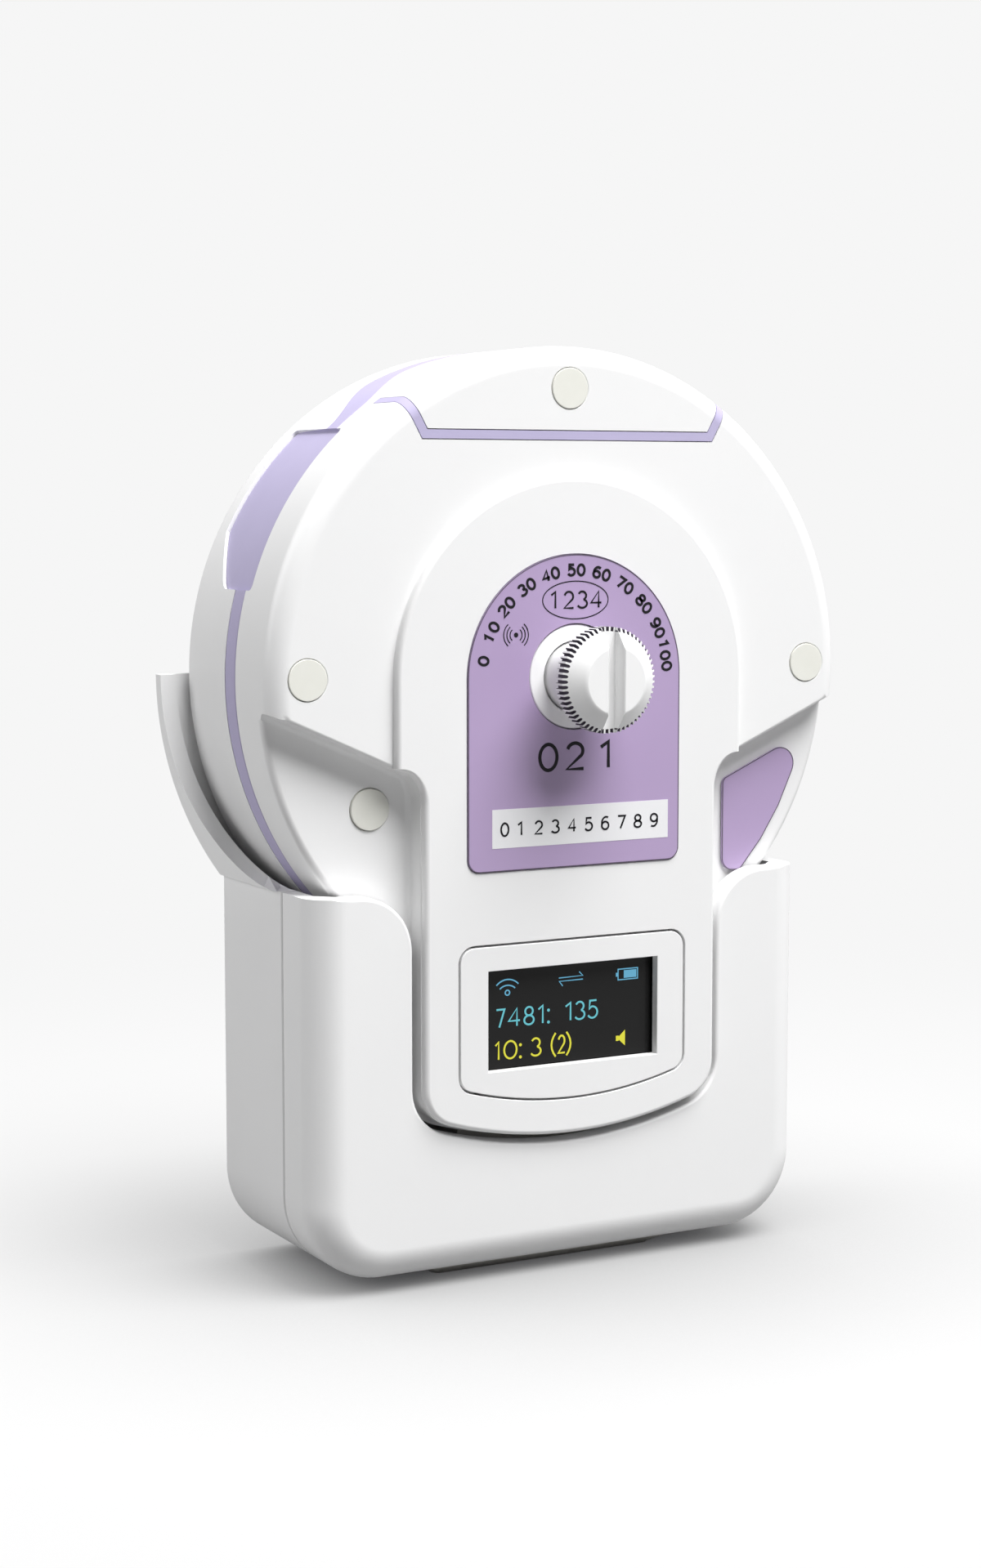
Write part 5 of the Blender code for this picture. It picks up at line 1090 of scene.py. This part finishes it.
def digit_paths(digit):
    """The centre lines of a plain digit, in a box one wide and one high."""
    six = bow(0.62, 0.5, 0.6, 0.5, 62, 165, 8) + bow(0.5, 0.31, 0.48, 0.31, 165, 525, 20)
    three = bow(0.46, 0.75, 0.42, 0.25, 155, -60) + bow(0.46, 0.26, 0.52, 0.26, 65, -155)
    five = [(0.88, 1), (0.2, 1), (0.11, 0.51)] + bow(0.46, 0.33, 0.52, 0.33, 105, -150)
    return {
        "0": [bow(0.5, 0.5, 0.5, 0.5, 90, 450, 24)],
        "1": [[(0, 0.8), (0.45, 1), (0.45, 0)]],
        "2": [bow(0.5, 0.7, 0.46, 0.3, 165, -35) + [(0, 0), (1, 0)]],
        "3": [three],
        "4": [[(0.74, 0), (0.74, 1), (0, 0.3), (1, 0.3)]],
        "5": [five],
        "6": [six],
        "7": [[(0, 1), (1, 1), (0.35, 0)]],
        "8": [bow(0.5, 0.76, 0.4, 0.24, 270, -90, 18), bow(0.5, 0.26, 0.5, 0.26, 90, 450, 20)],
        "9": [[(1 - x, 1 - z) for x, z in six]],
        "(": [[(t * t, 0.5 + 0.68 * t) for t in (-1, -0.7, -0.35, 0, 0.35, 0.7, 1)]],
        ")": [[(1 - t * t, 0.5 + 0.68 * t) for t in (-1, -0.7, -0.35, 0, 0.35, 0.7, 1)]],
    }[digit]


def written(marks, line, y, turn=0.0):
    """Builders of the strokes of marks on one line."""
    low, height, stroke = line
    cos, sin = math.cos(turn), math.sin(turn)
    made = []
    for digit, left, width in marks:
        for path in digit_paths(digit):
            flat = [((left + x * width) * MM, (low + z * height) * MM) for x, z in path]
            turned_path = [(x * cos - z * sin, x * sin + z * cos) for x, z in flat]
            made.append(ribbon(turned_path, stroke * MM, y))
    return made


def printed(name, builders, finish):
    finished(draft(name, together(*builders)), "transducer", finish, (), DISC_Z)


def in_mm(points):
    return [(x * MM, z * MM) for x, z in points]


def labels(film, field, ink, edge_shade):
    front = NECK_Y - GAP / 2
    label = draft("type_label_film", plate(label_outline, [(front, 0), (front + LABEL_THICK, 0)]))
    cut(label, rod(LABEL_HOLE_R, NECK_Y - OVERRUN, NECK_Y + OVERRUN))
    finished(label, "transducer", film, ["type_label"], DISC_Z)
    low = RECESS_Y - GAP / 2 - SIDE_LABEL_THICK
    side = side_label_outline
    flat_piece("side_label_film", side, low, SIDE_LABEL_THICK, film, ["side_label"])
    flat_piece("label_field", rectangle(*FIELD), front - INK, INK, field)
    # A grey line just inside the edge of each label is painted shade, which stands in for the dark
    # gap round its film.
    shaded_edges = []
    for outline, y in ((label_outline, front - INK), (side, low - INK)):
        path = outline(-EDGE_SHADE_WIDTH / 2)
        shaded_edges.append(ribbon(path + path[:1], EDGE_SHADE_WIDTH, y))
    printed("label_outlines", shaded_edges, edge_shade)

    y = front - INK
    scale = []
    for step in range(SCALE_STEPS + 1):
        number = str(10 * step)
        start = -(SCALE_PITCH * len(number) - (SCALE_PITCH - SCALE_WIDTH)) / 2
        marks = [(digit, start + SCALE_PITCH * i, SCALE_WIDTH) for i, digit in enumerate(number)]
        scale += written(marks, SCALE_LINE, y, SCALE_START - SCALE_STEP * step)
    printed("scale_numbers", scale, ink)
    oval = ribbon(in_mm(bow(*OVAL)), FINE_STROKE * MM, y)
    printed("oval_number", [oval] + written(OVAL_MARKS, OVAL_LINE, y), ink)
    sign = [ribbon(in_mm(bow(*wave)), FINE_STROKE * MM, y) for wave in WAVES]
    sign.append(plate(in_mm(circle(*WAVE_DOT)), [(y, 0), (front, 0)]))
    printed("emblem", sign, ink)
    printed("large_number", written(LARGE_MARKS, LARGE_LINE, y), ink)
    printed("field_numbers", written(FIELD_MARKS, FIELD_LINE, y - INK), ink)


def display(white, cover, pixels_off, cyan, blue, yellow):
    stations = front_roll(NECK_Y, BEZEL_EDGE, SMALL_FILLET) + [(NECK_Y + BEZEL_THICK, 0)]
    bezel = draft("bezel_frame", plate(bezel_outline, stations))
    opening = [(NECK_Y - OVERRUN, BEZEL_EDGE / 2), (NECK_Y, BEZEL_EDGE / 2)]
    opening += [(NECK_Y + BEZEL_EDGE / 2, 0), (NECK_Y + 2 * BEZEL_THICK, 0)]
    cut(bezel, plate(rectangle(*WINDOW), opening))
    finished(bezel, "transducer", white, ["display_bezel"], DISC_Z)
    start = NECK_Y + BEZEL_THICK + GAP
    glass = rectangle(-GLASS_HALF, GLASS_HALF, GLASS_TOP - GLASS_HEIGHT, GLASS_TOP)
    # The panel is darker than the unlit pixels, and its strips beside them in the window are painted
    # shadow of the window's side walls.
    flat_piece("display_panel", glass, start, GLASS_THICK, cover, ["display_module"])
    active = rectangle(-ACTIVE_HALF, ACTIVE_HALF, GLASS_TOP - GLASS_HEIGHT + GAP, GLASS_TOP - GAP)
    flat_piece("display_pixels_off", active, start - INK, INK, pixels_off)
    y = start - 2 * INK

    def lines(paths, width):
        return [ribbon(in_mm(path), width * MM, y) for path in paths]

    def areas(*outlines):
        return [plate(in_mm(outline), [(y, 0), (y + INK, 0)]) for outline in outlines]

    def colon(spots):
        return areas(*[circle(*COLON_DOT, spot) for spot in spots])

    printed("signal_icon", lines([bow(*b) for b in SIGNAL_BOWS], SIGNAL_STROKE), blue)
    printed("link_icon", lines(LINK_ARROWS, ICON_STROKE), blue)
    shell = rectangle(*CELL)
    cell = lines([shell + shell[:1]], ICON_STROKE)
    cell += areas(rectangle(*CELL_CHARGE), rectangle(*CELL_END))
    printed("battery_icon", cell, blue)
    printed("rate_numbers", written(RATE_MARKS, RATE_LINE, y) + colon(RATE_COLON), cyan)
    channel = written(CHANNEL_MARKS, CHANNEL_LINE, y) + colon(CHANNEL_COLON)
    printed("channel_numbers", channel, yellow)
    printed("speaker_icon", areas(SPEAKER_CONE, rectangle(*SPEAKER_MAGNET)), yellow)


def acoustic_face(finish):
    """The rear face: a shallow dome inside a rolled rim with one witness groove."""
    profile = [(0, ACOUSTIC_Y), (ACOUSTIC_R, ACOUSTIC_Y)]
    profile += [(ACOUSTIC_R + g, y) for y, g in rear_roll(REAR_Y, ACOUSTIC_ROLL)]
    rim, floor_y = ACOUSTIC_R - ACOUSTIC_RIM, REAR_Y - ACOUSTIC_GROOVE_DEPTH
    slope, floor, width = ACOUSTIC_GROOVE
    profile += [(rim, REAR_Y), (rim - slope, floor_y), (rim - floor, floor_y)]
    profile += [(rim - width, REAR_Y - ACOUSTIC_DOME), (0, REAR_Y)]
    face = draft("acoustic_window", turned(profile, steps=ROUND))
    finished(face, "transducer", finish, ["acoustic_face"], DISC_Z)


# Belt knob


def knob(finish, gap_shade):
    ring = [(STEM_R + GAP, NECK_Y + RING_THICK), (STEM_R + GAP, NECK_Y)]
    ring += [(RING_R + g, y) for y, g in front_roll(NECK_Y, RING_ROLL, SMALL_FILLET)]
    ring += [(RING_R, NECK_Y + RING_THICK)]
    collar = draft("knob_collar", turned(ring))
    finished(collar, "knob_seal_ring", finish, ["knob_seal_ring"], DISC_Z)
    head_y = NECK_Y - STEM_LENGTH
    tip, shoulder, thread = head_y - SPIGOT_LENGTH, head_y + GAP, NECK_Y + THREAD_START
    stem = [(0, tip), (SPIGOT_R, tip), (SPIGOT_R, shoulder)]
    stem += [(STEM_R - STEM_CHAMFER, shoulder), (STEM_R, shoulder + STEM_CHAMFER)]
    stem += [(STEM_R, thread), (THREAD_R, thread)]
    for i in range(1, THREAD_FLANKS):
        stem.append((THREAD_R - (THREAD_DEPTH if i % 2 else 0), thread + THREAD_FLANK * i))
    stem += [(0, thread + THREAD_FLANK * THREAD_FLANKS)]
    shank = draft("knob_shank", turned(stem))
    finished(shank, "belt_knob", finish, ["knob_stem"], DISC_Z)
    face_y = head_y - KNOB_UNDERCUT - KNURL_WIDTH - KNOB_CONE
    head = draft("knob_grip", knurled_head(head_y))
    half, edge = SLOT_WIDTH / 2, SLOT_CHAMFER
    slot = rectangle(-half, half, -KNOB_R - OVERRUN, KNOB_R + OVERRUN)
    floor_y = face_y + SLOT_DEPTH
    cut(
        head,
        plate(slot, [(face_y - OVERRUN, edge), (face_y, edge), (face_y + edge, 0), (floor_y, 0)]),
        rod(KNOB_BORE_R, head_y - KNOB_BORE_DEPTH, head_y + OVERRUN),
    )
    finished(head, "belt_knob", finish, ["knob_head"], DISC_Z)
    # The floors and walls of the gaps between the teeth get painted shade, a dark grey.
    head.data.materials.append(gap_shade)
    for face in head.data.polygons:
        x, y, z = face.center
        deep = knob_radius(y, head_y) - math.hypot(x, z - DISC_Z)
        in_slot = abs(x) < half + edge / 2 and y < floor_y + edge / 2
        on_teeth = face_y + KNOB_CONE / 2 < y < head_y - GAP / 10
        if GAP / 10 < deep < TOOTH_DEPTH + GAP / 10 and on_teeth and not in_slot:
            face.material_index = 1


def knob_radius(y, head_y):
    """Radius of the knob's outer surface at a depth, for the undercut, the knurl and the cone."""
    back = head_y - KNOB_UNDERCUT
    front = back - KNURL_WIDTH
    if y > back:
        return KNOB_R - (KNOB_R - KNOB_UNDER_R) * (y - back) / KNOB_UNDERCUT
    return KNOB_R - (KNOB_R - KNOB_FACE_R) * max(front - y, 0) / KNOB_CONE


def knurled_head(head_y):
    """The knob's head. Each gap between its teeth runs out with a round end on the cone."""
    front = head_y - KNOB_UNDERCUT - KNURL_WIDTH
    face_y = front - KNOB_CONE
    floor_r = KNOB_R - TOOTH_DEPTH
    run_out = front - TOOTH_DEPTH * KNOB_CONE / (KNOB_R - KNOB_FACE_R)
    end_r = TOOTH_GAP / 2
    stations = [(head_y, 1), (head_y - KNOB_UNDERCUT, 1), (front, 1)]
    for i in range(1, TOOTH_END_STEPS + 1):
        turn = math.pi / 2 * i / TOOTH_END_STEPS
        stations.append((run_out + end_r * (1 - math.sin(turn)), max(math.cos(turn), 0)))
    edge = KNOB_FACE_ROLL
    rings = [(knob_radius(y, head_y), share, y) for y, share in stations]
    rings.append((knob_radius(face_y + edge, head_y), 0, face_y + edge))
    slope = (KNOB_R - KNOB_FACE_R) / KNOB_CONE
    for i in range(1, SMALL_FILLET + 1):
        share = i / SMALL_FILLET
        reach = KNOB_FACE_R + slope * edge * (1 - share) ** 2 - edge * share**2 * KNOB_ROLL_INWARD
        rings.append((reach, 0, face_y + edge * (1 - share) ** 2))

    def build(bm):
        pitch = 2 * math.pi / TEETH
        sections = []
        for radius, share, y in rings:
            wide = TOOTH_GAP / 2 / KNOB_R * share
            low = min(floor_r, radius) if share else radius
            section = []
            for i in range(TEETH):
                spots = ((-wide, radius), (-wide, low), (0, low), (wide, low), (wide, radius))
                for turn, reach in spots + ((pitch / 2, radius),):
                    angle = pitch * i + turn
                    section.append((reach * math.cos(angle), y, reach * math.sin(angle)))
            sections.append(section)
        add_loft(bm, sections)

    return build


# Cradle


def cradle_front(finish):
    end = CRADLE_SEAM_Y - GAP / 2
    stations = front_roll(CRADLE_FRONT_Y, CRADLE_FILLET, LARGE_FILLET)
    stations += [(end - COVER_CHAMFER, 0), (end, -COVER_CHAMFER)]
    cover = draft("cradle_cover", plate(cradle_outline, stations))
    inside = CRADLE_FRONT_Y + CRADLE_FRONT_WALL
    cavity = [(inside, -CRADLE_WALL - CAVITY_BEVEL), (inside + CAVITY_BEVEL, -CRADLE_WALL)]
    cavity += [(CRADLE_SEAM_Y + OVERRUN, -CRADLE_WALL)]
    edges = [(CRADLE_FRONT_Y - OVERRUN, SLOT_EDGE)]
    edges += [(y, -g) for y, g in front_roll(CRADLE_FRONT_Y, SLOT_EDGE)]
    edges += [(CRADLE_SEAM_Y + 2 * OVERRUN, 0)]
    cut(cover, plate(cradle_outline, cavity))
    cut(cover, plate(slot_outline, edges), foot_seat())
    finished(cover, "cradle", finish, ["cradle_front"])


def foot_outline(growth=0.0):
    x, y = (half + growth for half in FOOT_HALF)
    return rectangle(-x, x, -y, y, FOOT_CORNER)


def foot_seat():
    top = CRADLE_LOW + FOOT_INLET + GAP
    return column(foot_outline, [(CRADLE_LOW - OVERRUN, GAP), (top, GAP)])


def crescent_front(z):
    """Depth of the crescent's front edge at a height: it sweeps back as it rises."""
    low, high = CRADLE_SEAM_Y + GAP / 2, CRADLE_REAR_Y - CRESCENT_TIP
    share = min(max((DISC_Z - z) / (DISC_Z - CRADLE_TOP), 0), 1)
    return low + (high - low) * (1 - share**CRESCENT_POWER) ** (1 / CRESCENT_POWER)


def cradle_rear(finish):
    start = CRADLE_SEAM_Y + GAP / 2
    edge = rear_roll(CRADLE_REAR_Y, CRADLE_REAR_EDGE)
    stations = [(start, -COVER_CHAMFER), (start + COVER_CHAMFER, 0)] + edge
    cover = draft("cradle_back", plate(cradle_outline, stations))
    far = CRESCENT_R + OVERRUN
    through = [(CRADLE_FRONT_Y - OVERRUN, 0), (CRADLE_REAR_Y + OVERRUN, 0)]
    above_top = rectangle(-far, far, CRADLE_TOP, DISC_Z + far)
    cut(cover, plate(cradle_outline, [(start - OVERRUN, -CRADLE_WALL), (PLATE_Y, -CRADLE_WALL)]))
    cut(cover, plate(above_top, through))
    inner = CRESCENT_R - CRESCENT_WALL
    cup = [(0, PLATE_Y), (inner, PLATE_Y)]
    cup += [(r, lambda a, r=r: crescent_front(DISC_Z + r * math.cos(a))) for r in (inner, CRESCENT_R)]
    cup += [(CRESCENT_R + g, y) for y, g in edge] + [(0, CRADLE_REAR_Y)]
    crescent = draft("crescent", turned(cup, (0, DISC_Z), 3 * ROUND))
    cut(crescent, plate(rectangle(-far, far, DISC_Z, DISC_Z + far), through))
    cut(crescent, plate(rectangle(-far, far, DISC_Z - far, CRADLE_TOP), through))
    join(cover, crescent)
    deep, beyond = CRADLE_REAR_Y - SCREW_HEAD - 2 * GAP, CRADLE_REAR_Y + OVERRUN
    bore, mouth = SCREW_R + GAP, SCREW_R + GAP + SCREW_HOLE_CHAMFER
    profile = [(0, deep), (bore, deep), (bore, CRADLE_REAR_Y - SCREW_HOLE_CHAMFER)]
    profile += [(mouth, CRADLE_REAR_Y), (mouth, beyond), (0, beyond)]
    for place in COVER_SCREWS:
        join(cover, rod(COVER_POST_R, start, PLATE_Y + COVER_POST_BITE, place))
    cut(cover, *[turned(profile, place) for place in COVER_SCREWS])
    inlet = rectangle(-INLET_HALF, INLET_HALF, INLET_LOW, INLET_LOW + INLET_HEIGHT, INLET_HEIGHT / 4)
    stations = [(PLATE_Y - OVERRUN, GAP), (CRADLE_REAR_Y - INLET_CHAMFER, GAP)]
    stations += [(CRADLE_REAR_Y, INLET_FLARE), (beyond, INLET_FLARE)]
    cut(cover, plate(inlet, stations), foot_seat())
    finished(cover, "cradle", finish, ["cradle_rear"])


def foot(finish):
    levels = [(0, -FOOT_TAPER - FOOT_TREAD_EDGE), (FOOT_TREAD_EDGE, -FOOT_TAPER)]
    levels += [(CRADLE_LOW - FOOT_TOP_CLEAR, 0), (CRADLE_LOW + FOOT_INLET, 0)]
    pad = draft("foot_block", column(foot_outline, levels))
    finished(pad, "cradle", finish, ["foot_pad"])


def socket_screws(finish):
    """The cradle's rear screws, with a hexagon socket and a bevelled head."""
    seat, top = CRADLE_REAR_Y - SCREW_HEAD - GAP, CRADLE_REAR_Y - GAP
    tip, floor = seat - SCREW_LENGTH, top - SOCKET_SINK
    profile = [(0, tip), (SCREW_SHANK_R, tip), (SCREW_SHANK_R, seat), (SCREW_R, seat)]
    profile += [(SCREW_R, top - SCREW_EDGE), (SCREW_R - SCREW_EDGE, top), (SOCKET_MOUTH_R, top)]
    profile += [(SOCKET_R, floor), (0, floor)]
    for number, place in enumerate(COVER_SCREWS, 1):
        screw = draft(f"socket_screw_{number}", turned(profile, place))
        cut(screw, rod(SOCKET_R, top - SOCKET_DEPTH, top + OVERRUN, place, 6))
        finished(screw, "cradle", finish, [f"cover_screw_{number}"])


# Stage


def camera():
    data = bpy.data.cameras.new("camera")
    data.lens = CAMERA_LENS
    data.sensor_width = CAMERA_SENSOR
    data.clip_start, data.clip_end = 0.01, 50
    obj = bpy.data.objects.new("camera", data)
    bpy.context.scene.collection.objects.link(obj)
    bpy.context.scene.camera = obj
    obj.location = CAMERA_PLACE
    obj.rotation_euler = (math.pi / 2 - CAMERA_PITCH, 0, -CAMERA_YAW)


def lamp(name, place, size, power):
    data = bpy.data.lights.new(name, "AREA")
    data.shape = "DISK"
    data.size = size
    data.energy = power
    obj = bpy.data.objects.new(name, data)
    obj.location = place
    aim = Vector(LAMP_TARGET) - Vector(place)
    obj.rotation_mode = "QUATERNION"
    obj.rotation_quaternion = aim.to_track_quat("-Z", "Y")
    bpy.context.scene.collection.objects.link(obj)


def seen_directly(tree):
    """1 for rays from the camera, and for those that show the background in gloss or glass."""
    path = add_node(tree, "ShaderNodeLightPath", {})
    rays = {0: path.outputs["Is Camera Ray"], 1: path.outputs["Is Glossy Ray"]}
    glossy = add_node(tree, "ShaderNodeMath", rays, operation="MAXIMUM")
    rays = {0: glossy.outputs[0], 1: path.outputs["Is Transmission Ray"]}
    return add_node(tree, "ShaderNodeMath", rays, operation="MAXIMUM").outputs[0]


def stage():
    scene = bpy.context.scene
    scene.view_settings.view_transform = "Standard"
    world = bpy.data.worlds.new("studio")
    world.use_nodes = True
    scene.world = world
    tree = world.node_tree
    background = tree.nodes["Background"]
    tones = {"Factor": seen_directly(tree), "A": linear("#38383A"), "B": linear("#F6F6F6")}
    colour = add_node(tree, "ShaderNodeMix", tones, data_type="RGBA")
    tree.links.new(colour.outputs["Result"], background.inputs["Color"])
    background.inputs["Strength"].default_value = 1.0

    bm = bmesh.new()
    bmesh.ops.create_circle(bm, cap_ends=True, segments=96, radius=FLOOR_R)
    mesh = bpy.data.meshes.new("floor")
    bm.to_mesh(mesh)
    bm.free()
    floor = bpy.data.objects.new("floor", mesh)
    scene.collection.objects.link(floor)
    paint, tree, shader = surface("backdrop_paper_white", "#E3E3E3", 0.9)
    direct = seen_directly(tree)
    tones = {"Factor": direct, "A": linear("#828282"), "B": linear("#E3E3E3")}
    tone = add_node(tree, "ShaderNodeMix", tones, data_type="RGBA")
    tree.links.new(tone.outputs["Result"], shader.inputs["Base Color"])
    nearby = add_node(tree, "ShaderNodeAmbientOcclusion", {"Distance": SHADE_REACH})
    tones = {"Factor": nearby.outputs["AO"], "A": linear("#3C3C3E"), "B": linear("#F6F6F6")}
    shade = add_node(tree, "ShaderNodeMix", tones, data_type="RGBA")
    glow = add_node(tree, "ShaderNodeEmission", {"Color": shade.outputs["Result"], "Strength": 1.0})
    place = add_node(tree, "ShaderNodeTexCoord", {})
    reach = add_node(tree, "ShaderNodeVectorMath", {0: place.outputs["Object"]}, operation="LENGTH")
    fade = {"Value": reach.outputs["Value"], "To Min": SHADE_SHARE}
    fade["From Min"], fade["From Max"] = SHADE_FADE
    share = add_node(tree, "ShaderNodeMapRange", fade, interpolation_type="SMOOTHSTEP")
    product = {0: share.outputs["Result"], 1: direct}
    seen = add_node(tree, "ShaderNodeMath", product, operation="MULTIPLY")
    shaders = {0: seen.outputs[0], 1: shader.outputs["BSDF"], 2: glow.outputs["Emission"]}
    mix = add_node(tree, "ShaderNodeMixShader", shaders)
    tree.links.new(mix.outputs["Shader"], tree.nodes["Material Output"].inputs["Surface"])
    mesh.materials.append(paint)

    lamp("key", *KEY_LAMP)
    lamp("left_fill", *LEFT_LAMP)


def main():
    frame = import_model()
    camera()
    stage()
    white = moulded_abs()
    polished = polished_abs()
    silicone = soft_silicone()
    film = printed_film("label_film_purple", "#B39EC4", "#AF9AC0")
    field = printed_film("label_film_white", "#F0F0F2", "#ECECEE")
    ink = printing_ink("screen_ink_black", "#131116")
    # Flat grey for the painted shade along the labels' edges
    edge_shade = printing_ink("screen_ink_grey", "#5C5463")
    steel = plated_steel()
    gold = gold_contact()
    rubber = foot_rubber()
    board = solder_resist()
    front_housing(white)
    rear_housing(white)
    rim_band(silicone)
    plugs(plug_elastomer())
    labels(film, field, ink, edge_shade)
    display(
        white,
        # Panel darker than the unlit pixels: painted shadow of the window's side walls on the strips
        # beside them
        display_cover("display_border_black", "#0C0C0C"),
        display_cover("display_panel_black", "#1B1B1B"),
        lit_pixels("lit_cyan", "#5DBAC6"),
        lit_pixels("lit_blue", "#58A3C4"),
        lit_pixels("lit_yellow", "#DAD52A"),
    )
    acoustic_face(acoustic_skin())
    knob(polished, knob_core())
    cradle_front(white)
    cradle_rear(white)
    foot(rubber)
    socket_screws(steel)

    resin = inner_finish("backing_resin_black", "#2A2A2C", 0.7, 0.0, 1.0)
    ceramic = inner_finish("piezo_ceramic_buff", "#CDC3A8", 0.6, 0.0, 0.3)
    foil = inner_finish("cell_foil_silver", "#B9BBBF", 0.35, 1.0, 2.0)
    finishes = {
        "case_screw": steel,
        "power_inlet": steel,
        "charge_pad": gold,
        "contact_pin": gold,
        "pin_barrel": gold,
        "knob_insert": gold,
        "contact_block": rubber,
        "main_board": board,
        "cradle_board": board,
        "crystal_carrier": resin,
        "crystal": ceramic,
        "battery": foil,
    }
    for name, node in frame["nodes"].items():
        if node.hide_render:
            continue
        finish = next(f for start, f in finishes.items() if name.startswith(start))
        node.data.materials.clear()
        node.data.materials.append(finish)


main()
